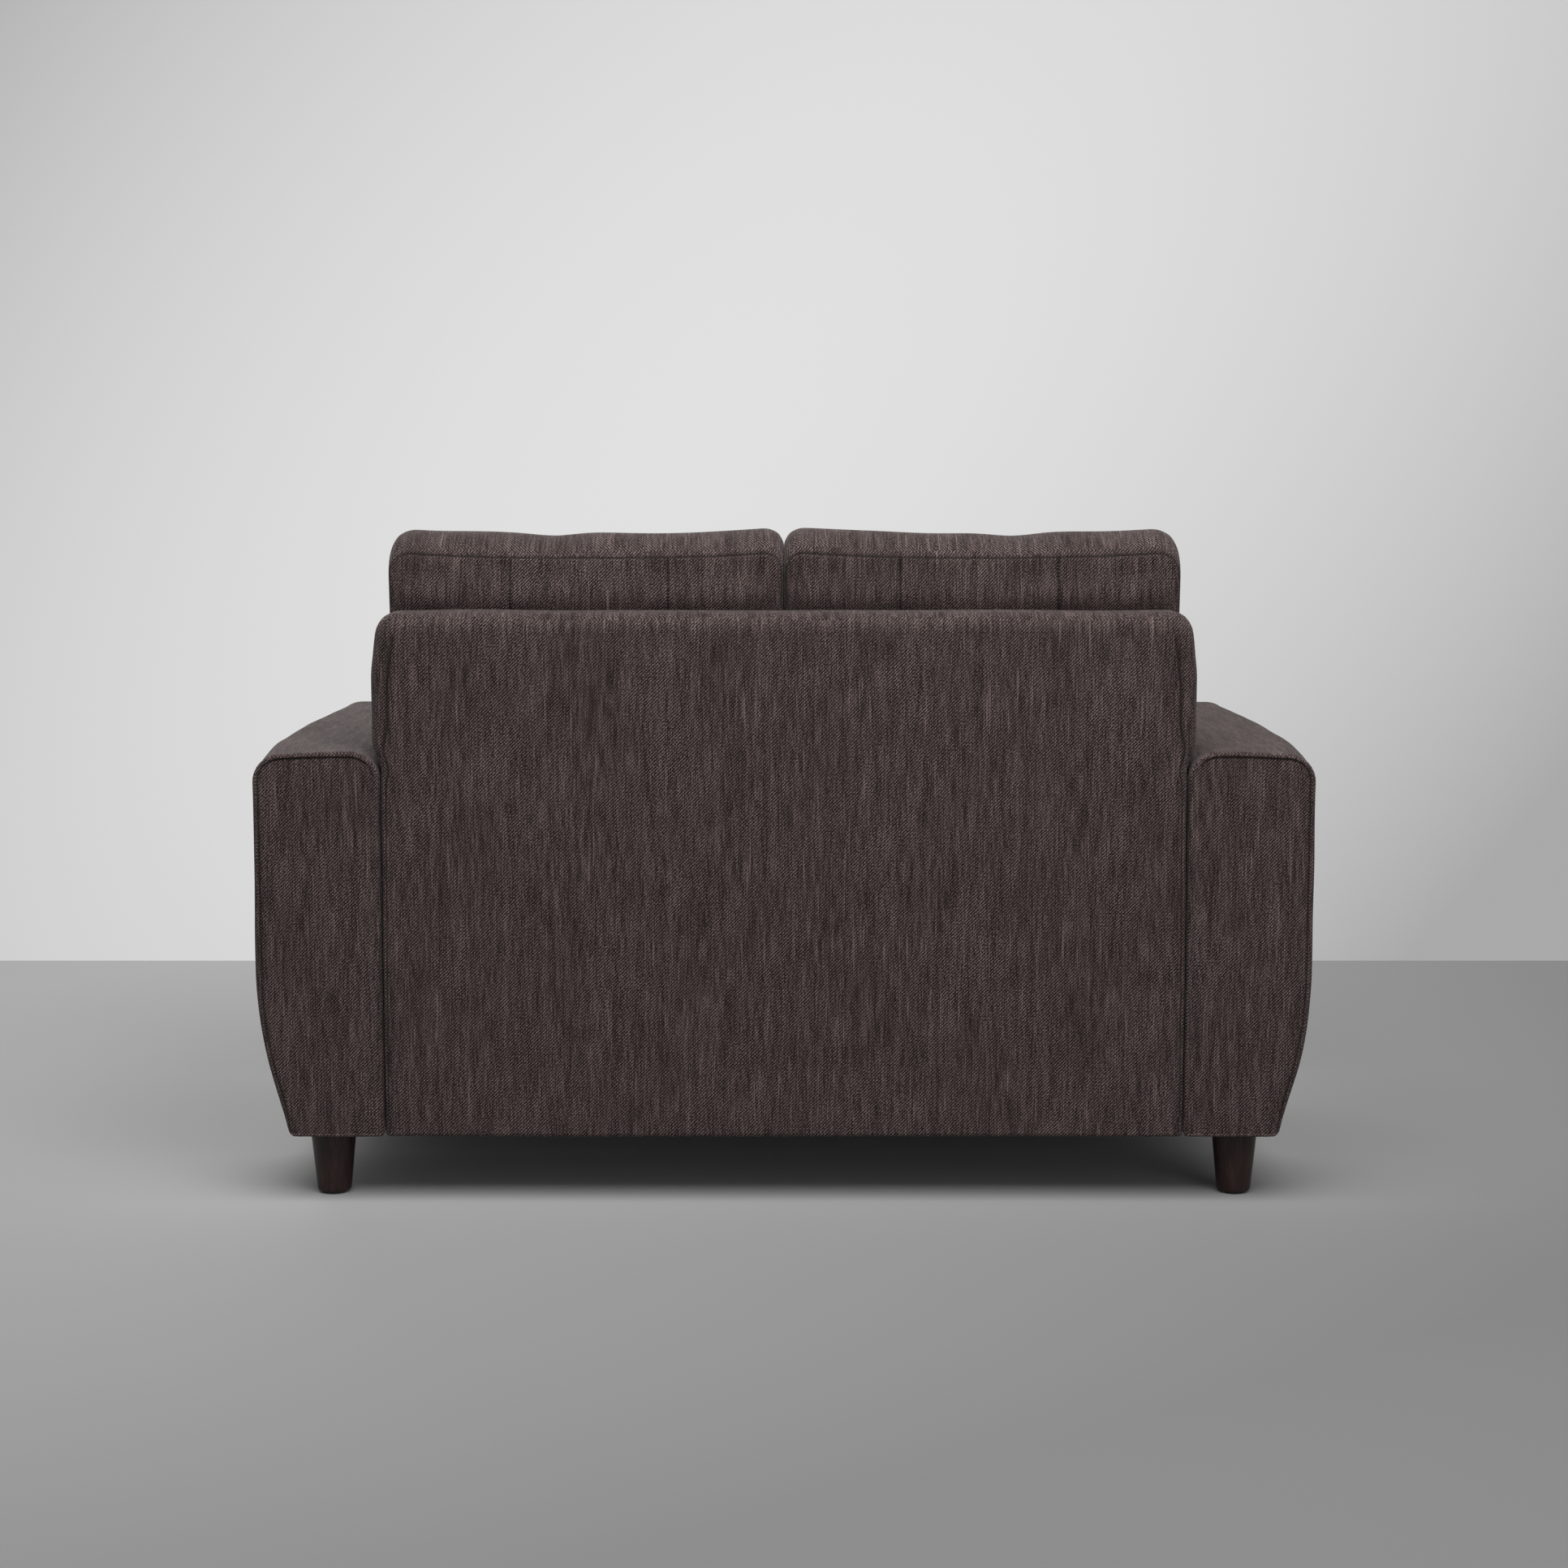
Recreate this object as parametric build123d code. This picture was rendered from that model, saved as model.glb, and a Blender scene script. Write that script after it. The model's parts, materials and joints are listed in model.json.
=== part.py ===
from build123d import *
import os
from math import atan2, cos, radians, sin, tan

# Two-seater sofa with loose boxed cushions, in millimetres.
# Origin on the floor under the middle of the sofa. +Z is up, the seat faces -Y and the rear is +Y.
# Left is -X and right is +X, as someone who stands in front of the sofa sees it.

os.makedirs("parts", exist_ok=True)

# Overall sizes
sofa_width = 1498
arm_depth = 810
cushion_overhang = 20
leg_height = 94
arm_height = 646
back_height = 841
cushion_top_height = 950

# Clearances and cloth
cushion_clearance = 0.3
fit_clearance = 0.15
cloth = 2.5
dust_cloth = 1
cut_overrun = 5

# Arms
arm_width = 180.5
arm_inner_radius = 28
arm_outer_radius = 38
arm_foot_radius = 12
arm_taper_angle = 16
arm_taper_height = 236
arm_taper_straight = 81
arm_edge_bevel = 8
facing_thickness = 4
arm_foam = 20
arm_panel = 18
arm_rail = 18
arm_side_rail_height = 70

# Back
back_top_thickness = 105
back_base_thickness = 185
back_top_radius = 26
back_corner_radius = 24
back_side_radius = 28
back_side_seam_radius = 6
back_bevel_start_share = 0.2
back_shoulder = 13
shoulder_start_share = 0.7
shoulder_rise_share = 0.39
back_wadding = 12
back_board = 3
back_post_width = 24
back_rail = 22
back_rail_height = 70
strap_count = 5
strap_width = 50
strap_thickness = 2

# Seat box
deck_front_height = 300
deck_pitch = 3
border_recess = 10
border_radius = 14
border_foam = 10
rail = 22
deck_pad = 12
centre_rail_height = 80
corner_block_leg = 90
corner_block_height = 60

# Zigzag springs and their clips
spring_count = 8
spring_wire = 4
spring_width = 52
spring_pitch = 60
spring_bend = 12
clip_width = 34
clip_sheet = 1.5
clip_reach = 10
clip_height = 26

# Cushions
seat_thickness = 150
seat_crown = 10
seat_front_bulge = 16
seat_corner_radius = 34
back_cushion_thickness = 150
cushion_side_room = 2
centre_room = 1
boxing_crown = 26
corner_radius = 38
rear_crown = 8
front_crown = 22
rear_channel_depth = 3
front_channel_depth = 10
side_pinch = 34
foam_margin = 44
foam_wrap = 12
inner_channel_share = 0.29
outer_channel_share = 0.69

# Zips
zip_length = 380
zip_width = 8
zip_height = 1.6

# Legs and metal
leg_top_diameter = 66
leg_foot_diameter = 49
leg_foot_bevel = 4
leg_inset_side = 98
leg_inset_end = 62
glide_diameter = 34
glide_thickness = 2
bolt_diameter = 8
leg_bolt_depth = 36
nut_width = 22
nut_height = 6
screw_head_width = 20
screw_head_height = 4
fastener_sides = 6
screw_bite = 28
screw_drop = 74
arm_screw_count = 2
back_screw_count = 2

# Places worked out from the sizes above
rear_y = (arm_depth + cushion_overhang) / 2
arm_front_y = rear_y - arm_depth
arm_outer_x = sofa_width / 2
arm_inner_x = arm_outer_x - arm_width
arm_gap = 2 * arm_inner_x
seat_front_y = arm_front_y + border_recess
back_front_y = rear_y - back_base_thickness
pitch = radians(deck_pitch)
deck_rear_height = deck_front_height - (back_front_y - seat_front_y) * tan(pitch)
pad_depth = cloth + deck_pad
frame_floor = leg_height + dust_cloth
front_rail_y = seat_front_y + cloth + border_foam
spring_front_y = front_rail_y + rail
spring_rear_y = back_front_y - rail
back_rise = back_height - deck_rear_height
back_lean = atan2(back_base_thickness - back_top_thickness, back_rise)
back_narrow_x = arm_inner_x - cushion_clearance
back_inset = cloth + back_wadding
screw_level = deck_rear_height - screw_drop
leg_x = arm_outer_x - leg_inset_side
leg_places = [(x, y) for x in (-leg_x, leg_x) for y in (arm_front_y + leg_inset_end, rear_y - leg_inset_end)]
deck_plane = Plane(
    origin=(0, seat_front_y, deck_front_height),
    x_dir=(1, 0, 0),
    z_dir=(0, sin(pitch), cos(pitch)),
)


# Shared helpers
def block(x_range, y_range, z_range):
    """A box between two corners, given as its ranges along X, Y and Z."""
    ranges = (x_range, y_range, z_range)
    size = [high - low for low, high in ranges]
    low_corner = [low for low, high in ranges]
    return Pos(*low_corner) * Box(*size, align=(Align.MIN, Align.MIN, Align.MIN))


def side_board(points, x_low, x_high):
    """A board whose outline is given as (y, z) corners seen from the side, carried from one X to another."""
    face = make_face(Plane.YZ * Polyline(*points, close=True))
    return Pos(x_low, 0, 0) * extrude(face, amount=x_high - x_low, dir=(1, 0, 0))


def mirrored(part):
    """The same piece on the other side of the sofa."""
    return mirror(part, about=Plane.YZ)


def deck_z(y, depth=0):
    """Height of the sloping deck at a place along Y, less a depth measured square to the deck."""
    return deck_front_height - (y - seat_front_y) * tan(pitch) - depth / cos(pitch)


def deck_run(y, depth=0):
    """Distance along the sloping deck of a place along Y, at a depth square to the deck."""
    return (y - seat_front_y + depth * sin(pitch)) / cos(pitch)


def less(part, cutters):
    """A part with each of the cutters taken out of it."""
    for cutter in cutters:
        part = part - cutter
    return part


def write(name, shapes):
    """One named piece of the sofa, written as a file of its own."""
    solids = [solid for shape in shapes for solid in shape.solids()]
    export_step(Compound(children=solids), f"parts/{name}.step")


# Screws and nuts. They repeat, so they and their holes are drawn with few sides.
def shank(radius, length):
    """An upright bar with few sides that stands on zero."""
    return extrude(RegularPolygon(radius, fastener_sides), amount=length)


def screw_set(seat, direction, grip):
    """A coach screw and its blind hole. The seat is where its head bears, the grip what it passes through."""
    place = Plane(origin=seat, z_dir=direction)
    length = grip + screw_bite
    screw = shank(screw_head_width / 2, -screw_head_height) + shank(bolt_diameter / 2, length)
    bore = shank(bolt_diameter / 2 + fit_clearance, length + cut_overrun + fit_clearance)
    return {"screw": place * screw, "hole": place * Pos(0, 0, -cut_overrun) * bore}


def nut():
    """A nut that stands on zero."""
    return shank(nut_width / 2, nut_height) - shank(bolt_diameter / 2 + fit_clearance, nut_height)


def arm_screw_sets():
    """Screws from inside the seat box through its right side rail into the rail inside the arm."""
    run = spring_rear_y - spring_front_y
    places = [spring_front_y + run * (index + 0.5) / arm_screw_count for index in range(arm_screw_count)]
    return [screw_set((arm_inner_x - rail, y, screw_level), (1, 0, 0), rail + cloth) for y in places]


def back_screw_sets():
    """Screws from inside the seat box through its rear rail into the lower rail of the back."""
    step = arm_gap / back_screw_count
    places = [step * (index + 0.5) - arm_inner_x for index in range(back_screw_count)]
    return [screw_set((x, spring_rear_y, screw_level), (0, 1, 0), rail + cloth) for x in places]


# Arms, made as the right arm
def arm_profile(inset, floor_inset):
    """Arm outline from the rear: rounded shoulders, and an outer side that bends in to a taper."""
    turn = radians(arm_taper_angle)
    left = arm_inner_x + inset
    right = arm_outer_x - inset
    top = arm_height - inset
    bottom = leg_height + floor_inset
    bend_z = leg_height + arm_taper_height
    bend_radius = (arm_taper_height - arm_taper_straight) / sin(turn)
    centre_x = arm_outer_x - bend_radius
    reach = bend_radius - inset
    middle = (centre_x + reach * cos(turn / 2), bend_z - reach * sin(turn / 2))
    bend_end = (centre_x + reach * cos(turn), bend_z - reach * sin(turn))
    foot = (bend_end[0] - (bend_end[1] - bottom) * tan(turn), bottom)
    outline = Polyline(foot, (left, bottom), (left, top), (right, top), (right, bend_z))
    outline += ThreePointArc((right, bend_z), middle, bend_end)
    outline += Line(bend_end, foot)
    face = make_face(Plane.XZ * outline)
    corners = {
        (left, top): arm_inner_radius,
        (right, top): arm_outer_radius,
        (left, bottom): arm_foot_radius,
        foot: arm_foot_radius,
    }
    for (x, z), radius in corners.items():
        if radius > max(inset, floor_inset):
            corner = face.vertices().sort_by_distance((x, 0, z))[0]
            face = fillet(corner, radius - inset)
    return face


def arm_run(face, y_low, y_high):
    """An arm outline carried along the depth of the sofa."""
    return Pos(0, y_low, 0) * extrude(face, amount=y_high - y_low, dir=(0, 1, 0))


def arm_body():
    """The padded arm between its two facings, with bevelled edges at both ends."""
    body = arm_run(arm_profile(0, 0), arm_front_y + facing_thickness, rear_y - facing_thickness)
    return chamfer(body.faces().filter_by(Axis.Y).edges(), arm_edge_bevel)


def arm_space(inset):
    """The space inside the arm at a depth below its surface. The cover is thicker at the ends."""
    wall = facing_thickness + arm_edge_bevel + inset - cloth
    return arm_run(arm_profile(inset, cloth), arm_front_y + wall, rear_y - wall)


def arm_facings():
    """Front and rear facings: padded plates inside the seam that runs round each end of the arm."""
    plate = arm_profile(arm_edge_bevel, arm_edge_bevel)
    front = arm_run(plate, arm_front_y, arm_front_y + facing_thickness)
    rear = arm_run(plate, rear_y - facing_thickness, rear_y)
    return front, rear


def arm_frame(core):
    """Two plywood end panels with the rails between them. The inner rail reaches out to the cloth."""
    low, high = core.bounding_box().min, core.bounding_box().max
    across = (low.X, high.X)
    upright = (low.Z, high.Z)
    run = (low.Y + arm_panel, high.Y - arm_panel)
    panels = [
        core & block(across, (low.Y, run[0]), upright),
        core & block(across, (run[1], high.Y), upright),
    ]
    half_rail = arm_side_rail_height / 2
    middle = (low.Z + high.Z) / 2
    inner_upright = (screw_level - half_rail, screw_level + half_rail)
    outer_upright = (middle - half_rail, middle + half_rail)
    rails = {
        "top": core & block(across, run, (high.Z - arm_rail, high.Z)),
        "floor": core & block(across, run, (low.Z, low.Z + arm_rail)),
        "inner": block((low.X - arm_foam, low.X + arm_rail), run, inner_upright),
        "outer": core & block((high.X - arm_rail, high.X), run, outer_upright),
    }
    return panels, rails


# Back
def back_side_outline(inset, rear_inset):
    """Corners of the back from the side: upright rear, and an inside face that slopes above the deck."""
    slope = tan(back_lean)
    front = back_front_y + inset
    slope_top = rear_y - back_top_thickness + inset / cos(back_lean)
    knee = back_height - (slope_top - front) / slope
    rear = rear_y - rear_inset
    top = back_height - inset
    bottom = leg_height + inset
    return [(rear, bottom), (rear, top), (slope_top - inset * slope, top), (front, knee), (front, bottom)]


def shoulder_levels():
    """The heights between which the back swells out over the arms."""
    swell = arm_height - arm_inner_radius * shoulder_start_share
    return swell, swell + (back_height - swell) * shoulder_rise_share


def back_rear_outline(inset):
    """The back from behind: held narrow between the arms, swelling above them, with rounded top corners."""
    narrow = back_narrow_x - inset
    wide = narrow + back_shoulder
    swell, full = shoulder_levels()
    half = [
        (narrow, leg_height + inset),
        (narrow, swell),
        (wide, full),
        (wide, back_height - inset),
    ]
    other_half = [(-x, z) for x, z in reversed(half)]
    face = make_face(Plane.XZ * Polyline(*half, *other_half, close=True))
    return fillet(face.vertices().group_by(Axis.Z)[-1], back_corner_radius - inset)


def back_body(inset, rear_inset):
    """The back at a depth below its surface, as the crossing of its side and rear outlines."""
    reach = back_narrow_x + back_shoulder
    long_block = side_board(back_side_outline(inset, rear_inset), -reach, reach)
    ridges = long_block.edges().filter_by(Axis.X).group_by(Axis.Z)[-1]
    long_block = fillet(ridges, back_top_radius - inset)
    flat_block = extrude(back_rear_outline(inset), amount=back_base_thickness, dir=(0, 1, 0))
    return long_block & (Pos(0, back_front_y, 0) * flat_block)


def back_edge_section(level, edge_x, radius, inset):
    """What comes off the right rear edge of the back at a height, seen from above: the corner outside an
    arc, or outside a plain bevel under the cloth."""
    x = edge_x - radius
    y = rear_y - radius
    reach = radius - inset
    half_way = reach * sin(radians(45))
    far = radius + cut_overrun
    start = reach * back_bevel_start_share if inset else 0
    side = (x + reach, y + start)
    rear = (x + start, y + reach)
    edge = Line(side, rear) if inset else ThreePointArc(side, (x + half_way, y + half_way), rear)
    outline = edge + Polyline(rear, (x + start, y + far), (x + far, y + far), (x + far, y + start), side)
    return Pos(0, 0, level) * make_face(outline)


def back_skin(inset):
    """The padded back with its rear edges rounded: tightly between the arms, and fully above them."""
    swell, full = shoulder_levels()
    wide = back_narrow_x + back_shoulder
    sections = [
        back_edge_section(leg_height - cut_overrun, back_narrow_x, back_side_seam_radius, inset),
        back_edge_section(swell, back_narrow_x, back_side_seam_radius, inset),
        back_edge_section(full, wide, back_side_radius, inset),
        back_edge_section(back_height + cut_overrun, wide, back_side_radius, inset),
    ]
    edge = loft(sections, ruled=True)
    return less(back_body(inset, inset), [edge, mirrored(edge)])


def back_frame(core):
    """Three posts cut to the back's side outline, and its rails. The lower rails reach out to the cloth."""
    low, high = core.bounding_box().min, core.bounding_box().max
    deep = (low.Y, high.Y)
    upright = (low.Z, high.Z)
    outer = back_narrow_x - back_inset
    inner = outer - back_post_width
    half_post = back_post_width / 2
    beds = ((-outer, -inner), (-half_post, half_post), (inner, outer))
    posts = [core & block(bed, deep, upright) for bed in beds]
    half_rail = back_rail_height / 2
    middle = (deck_rear_height + back_height) / 2
    spans = ((-inner, -half_post), (half_post, inner))
    beds = [
        (deep, (high.Z - back_rail, high.Z)),
        ((high.Y - back_rail, high.Y), (middle - half_rail, middle + half_rail)),
        (deep, (low.Z, low.Z + back_rail)),
    ]
    rails = [core & block(span, *bed) for span in spans for bed in beds]
    lower_deep = (low.Y - back_wadding, low.Y + back_rail)
    lower_upright = (screw_level - half_rail, screw_level + half_rail)
    lower_rails = [block(span, lower_deep, lower_upright) for span in spans]
    return posts, rails, lower_rails


def back_straps():
    """Level webbing straps that lie on the sloping front edges of the posts."""
    foot = Plane(
        origin=(0, back_front_y + back_inset / cos(back_lean), deck_rear_height),
        x_dir=(1, 0, 0),
        z_dir=(0, -cos(back_lean), sin(back_lean)),
    )
    step = (back_rise - back_rail_height) / cos(back_lean) / strap_count
    width = 2 * (back_narrow_x - back_inset)
    strap = Box(width, strap_width, strap_thickness, align=(Align.CENTER, Align.CENTER, Align.MIN))
    return [foot * Pos(0, step * (index + 0.5), 0) * strap for index in range(strap_count)]


# Seat box
def seat_profile(inset):
    """Corners of the seat box from the side, open to the rear and below, at a depth below its cloth."""
    front = seat_front_y + inset
    rear = back_front_y
    tops = [(front, deck_z(front, inset)), (rear, deck_z(rear, inset))]
    return [(front, leg_height), *tops, (rear, leg_height)]


def seat_solid(inset):
    """The seat box at a depth below its cloth, with the rounded front edge of the border."""
    box = side_board(seat_profile(inset), -arm_inner_x, arm_inner_x)
    front_edge = box.edges().filter_by(Axis.X).group_by(Axis.Z)[-1]
    return fillet(front_edge, border_radius - inset)


def seat_layers():
    """Cover over deck and border, the pad on the springs, and the foam in front of the front rail."""
    whole = seat_solid(0)
    under_cloth = seat_solid(cloth)
    under_pad = side_board(
        [
            (seat_front_y, leg_height),
            (seat_front_y, deck_z(seat_front_y, pad_depth)),
            (back_front_y, deck_z(back_front_y, pad_depth)),
            (back_front_y, leg_height),
        ],
        -arm_inner_x,
        arm_inner_x,
    )
    cover = whole - under_cloth
    pad = under_cloth - under_pad
    foam_front = seat_front_y + cloth
    foam = rail_board(foam_front, front_rail_y, -arm_inner_x, arm_inner_x)
    foam = foam & under_cloth
    return cover, pad, foam


def rail_board(y_low, y_high, x_low, x_high):
    """A rail of the seat box, from the dust cover up to the deck pad."""
    points = [
        (y_low, frame_floor),
        (y_low, deck_z(y_low, pad_depth)),
        (y_high, deck_z(y_high, pad_depth)),
        (y_high, frame_floor),
    ]
    return side_board(points, x_low, x_high)


def corner_block():
    """A glued triangular block in the front right corner of the seat box."""
    corner = (arm_inner_x - rail, spring_front_y)
    points = [corner, (corner[0] - corner_block_leg, corner[1]), (corner[0], corner[1] + corner_block_leg)]
    face = make_face(Polyline(*points, close=True))
    return Pos(0, 0, frame_floor) * extrude(face, amount=corner_block_height, dir=(0, 0, 1))


def rear_corner_block():
    """The same block in the rear right corner."""
    middle = (spring_front_y + spring_rear_y) / 2
    return mirror(corner_block(), about=Plane(origin=(0, middle, 0), z_dir=(0, 1, 0)))


# Springs
def spring():
    """One zigzag spring, a wire swept through cross runs and bevelled bends, lying just under the pad."""
    start = deck_run(spring_front_y + clip_reach / 2, pad_depth)
    end = deck_run(spring_rear_y - clip_reach / 2, pad_depth)
    runs = round((end - start) / spring_pitch)
    step = (end - start) / runs
    half = (spring_width - spring_wire) / 2
    points = [(-half, start)]
    side = 1
    for index in range(runs):
        near = start + step * index
        far = near + step
        points.append((side * (half - spring_bend), near))
        points.append((side * half, near + spring_bend))
        points.append((side * half, far - spring_bend))
        points.append((side * (half - spring_bend), far))
        side = -side
    points.append((side * half, end))
    level = -pad_depth - spring_wire / 2
    path = Pos(0, 0, level) * Polyline(*points)
    section = Plane(origin=path @ 0, z_dir=path % 0) * Rectangle(spring_wire, spring_wire)
    return deck_plane * sweep(section, path=path, transition=Transition.RIGHT)


def clips_at(x):
    """The two sheet clips of one spring: a lip under the wire and a leg on the rail."""
    seat_depth = pad_depth + spring_wire
    clips = []
    for face_y, way in ((spring_front_y, 1), (spring_rear_y, -1)):
        lip_y = face_y + way * clip_reach
        bend_y = face_y + way * clip_sheet
        foot_z = deck_z(face_y, seat_depth) - clip_height
        points = [
            (face_y, deck_z(face_y, seat_depth)),
            (lip_y, deck_z(lip_y, seat_depth)),
            (lip_y, deck_z(lip_y, seat_depth) - clip_sheet),
            (bend_y, deck_z(bend_y, seat_depth) - clip_sheet),
            (bend_y, foot_z),
            (face_y, foot_z),
        ]
        clips.append(side_board(points, x - clip_width / 2, x + clip_width / 2))
    return clips


def spring_places():
    """The places of the springs across the seat box, evenly spaced between its side rails."""
    room = arm_gap - 2 * rail
    return [room * ((index + 0.5) / spring_count - 0.5) for index in range(spring_count)]


# Cushions, made for the right half of the sofa
cushion_width = arm_inner_x - cushion_side_room - centre_room
corner_angle_shares = (0, 0.45, 1)
corner_pinch_shares = (1, 0.25, 0)
corner_crown_shares = (0.1, 0.4, 0.75)


def corner_stations(radius):
    """Sections round an upright edge of a cushion: distance in, corner drop, pinch and crown shares."""
    stations = []
    shares = zip(corner_angle_shares, corner_pinch_shares, corner_crown_shares)
    for angle_share, pinch_share, crown_share in shares:
        angle = radians(90 * angle_share)
        stations.append((radius * (1 - cos(angle)), radius * (1 - sin(angle)), pinch_share, crown_share))
    return stations


def seat_flat_start():
    """Distance along the deck of the front of the flat that a back cushion presses into the seat cushion."""
    reach = back_cushion_thickness - front_crown + foam_wrap / 2
    y = seat_front_y + seat_thickness * sin(pitch)
    z = deck_front_height + seat_thickness * cos(pitch)
    off_back = cos(back_lean) * (y - back_front_y) - sin(back_lean) * (z - deck_rear_height)
    return -(reach + off_back) / cos(back_lean - pitch)


def seat_section(x, drop, pinch, crown):
    """Seat cushion cut across X, as a face: flat below and behind, bulging in front, crowned on top."""
    front = deck_run(-rear_y, -seat_thickness / 2) + seat_front_bulge + pinch
    rear = deck_run(back_front_y, 0) - cushion_clearance - pinch / 2
    flat_start = seat_flat_start()
    sink = (rear - flat_start) * tan(back_lean - pitch)
    top = seat_thickness - drop
    foot = cushion_clearance + drop / 2
    front_top = (front, top)
    flat_front = (flat_start, top)
    flat_rear = (rear, top - sink)
    outline = ThreePointArc((front, foot), (front - seat_front_bulge, (foot + top) / 2), front_top)
    outline += ThreePointArc(front_top, ((front + flat_start) / 2, top + crown), flat_front)
    outline += Polyline(flat_front, flat_rear, (rear, foot), (front, foot))
    return Pos(x, 0, 0) * make_face(Plane.YZ * outline)


def seat_cushion():
    """Boxed seat cushion: rounded ends lofted through the corner sections, and one crowned panel between."""
    ends = corner_stations(seat_corner_radius)
    near = [
        seat_section(x, drop, side_pinch * pinch_share, seat_crown * crown_share)
        for x, drop, pinch_share, crown_share in ends
    ]
    far = [
        seat_section(cushion_width - x, drop, side_pinch * pinch_share, seat_crown * crown_share)
        for x, drop, pinch_share, crown_share in reversed(ends)
    ]
    middle = seat_section(cushion_width / 2, 0, 0, seat_crown)
    body = loft(near + [middle] + far, ruled=True)
    return Pos(centre_room, 0, 0) * body


def back_cushion_plane():
    """Frame of the back cushions: origin where the back meets the flat of the seat, Z along the back."""
    up = Vector(0, sin(back_lean), cos(back_lean))
    back_foot = Vector(0, back_front_y, deck_rear_height)
    flat_front = deck_plane.from_local_coords(Vector(0, seat_flat_start(), seat_thickness))
    rise = (flat_front - back_foot).dot(up) + cushion_clearance
    return Plane(origin=back_foot + up * rise, x_dir=(1, 0, 0), z_dir=up)


def back_cushion_height():
    """Length of a back cushion along the back, from the flat of the seat to the crest of its top boxing."""
    frame = back_cushion_plane()
    crest_y = -(rear_crown + back_cushion_thickness - front_crown) / 2
    crest_foot = frame.from_local_coords(Vector(0, crest_y, 0))
    return (cushion_top_height - crest_foot.Z) / cos(back_lean)


def back_section(x, drop, pinch, rear_bulge, front_bulge, top_bulge):
    """Back cushion cut across X, as a face: flat below, crowned at the rear, front and top boxing."""
    rear = -cushion_clearance - rear_crown - pinch
    front = -back_cushion_thickness + front_crown + pinch
    foot = drop / 2
    top = back_cushion_height() - boxing_crown - drop
    middle = (foot + top) / 2
    outline = ThreePointArc((rear, foot), (rear + rear_bulge, middle), (rear, top))
    outline += ThreePointArc((rear, top), ((rear + front) / 2, top + top_bulge), (front, top))
    outline += ThreePointArc((front, top), (front - front_bulge, middle), (front, foot))
    outline += Line((front, foot), (rear, foot))
    return Pos(x, 0, 0) * make_face(Plane.YZ * outline)


def back_cushion():
    """Boxed back cushion with two upright channels, lofted through its ribs and the channels between them."""
    ends = corner_stations(corner_radius)

    def end_section(x, drop, pinch_share, crown_share):
        """A section of a rounded upright edge."""
        pinch = side_pinch * pinch_share
        return back_section(
            x, drop, pinch, rear_crown * crown_share, front_crown * crown_share, boxing_crown - pinch / 2
        )

    def channel(x):
        """The section at a sewn channel, where the front and rear panels are drawn in."""
        rear_bulge = rear_crown - rear_channel_depth
        front_bulge = front_crown - front_channel_depth
        return back_section(x, 0, 0, rear_bulge, front_bulge, boxing_crown)

    def rib(x):
        """The fullest section of a padded rib."""
        return back_section(x, 0, 0, rear_crown, front_crown, boxing_crown)

    inner_channel = cushion_width * inner_channel_share
    outer_channel = cushion_width * outer_channel_share
    near = [end_section(*station) for station in ends]
    far = [end_section(cushion_width - station[0], *station[1:]) for station in reversed(ends)]
    panels = [
        rib((corner_radius + inner_channel) / 2),
        channel(inner_channel),
        rib((inner_channel + outer_channel) / 2),
        channel(outer_channel),
        rib((outer_channel + cushion_width - corner_radius) / 2),
    ]
    return Pos(centre_room, 0, 0) * loft(near + panels + far, ruled=True)


def seat_cushion_parts():
    """Cover with its wadding, foam core and zip of the right seat cushion, all on the deck."""
    front = deck_run(-rear_y, -seat_thickness / 2) + seat_front_bulge
    rear = deck_run(back_front_y, 0) - cushion_clearance
    across = (centre_room + foam_margin, centre_room + cushion_width - foam_margin)
    upright = (foam_margin / 2, seat_thickness - foam_margin)
    core = block(across, (front + foam_margin, rear - foam_margin), upright)
    middle_x = centre_room + cushion_width / 2
    middle_z = seat_thickness / 2
    zip_strip = block(
        (middle_x - zip_length / 2, middle_x + zip_length / 2),
        (rear - zip_height, rear),
        (middle_z - zip_width / 2, middle_z + zip_width / 2),
    )
    cover = seat_cushion() - core - zip_strip
    return [deck_plane * piece for piece in (cover, core, zip_strip)]


def back_cushion_parts():
    """Cover with its wadding, foam core and zip of the right back cushion, leaning on the back."""
    frame = back_cushion_plane()
    rear = -cushion_clearance - rear_crown
    front = -back_cushion_thickness + front_crown
    top = back_cushion_height() - boxing_crown
    across = (centre_room + foam_margin, centre_room + cushion_width - foam_margin)
    core = block(across, (front + foam_wrap, rear - foam_wrap), (foam_margin, top - foam_margin))
    middle_x = centre_room + cushion_width / 2
    middle_y = (front + rear) / 2
    zip_strip = block(
        (middle_x - zip_length / 2, middle_x + zip_length / 2),
        (middle_y - zip_width / 2, middle_y + zip_width / 2),
        (0, zip_height),
    )
    cover = back_cushion() - core - zip_strip
    return [frame * piece for piece in (cover, core, zip_strip)]


# Legs
def leg(x, y, bolt_hole):
    """A turned leg: a plain taper with a bevelled foot, bored for its hanger bolt."""
    height = leg_height - glide_thickness
    upright = (Align.CENTER, Align.CENTER, Align.MIN)
    cone = Cone(leg_foot_diameter / 2, leg_top_diameter / 2, height, align=upright)
    cone = chamfer(cone.edges().sort_by(Axis.Z)[0], leg_foot_bevel)
    return Pos(x, y, glide_thickness) * cone - bolt_hole


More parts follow.
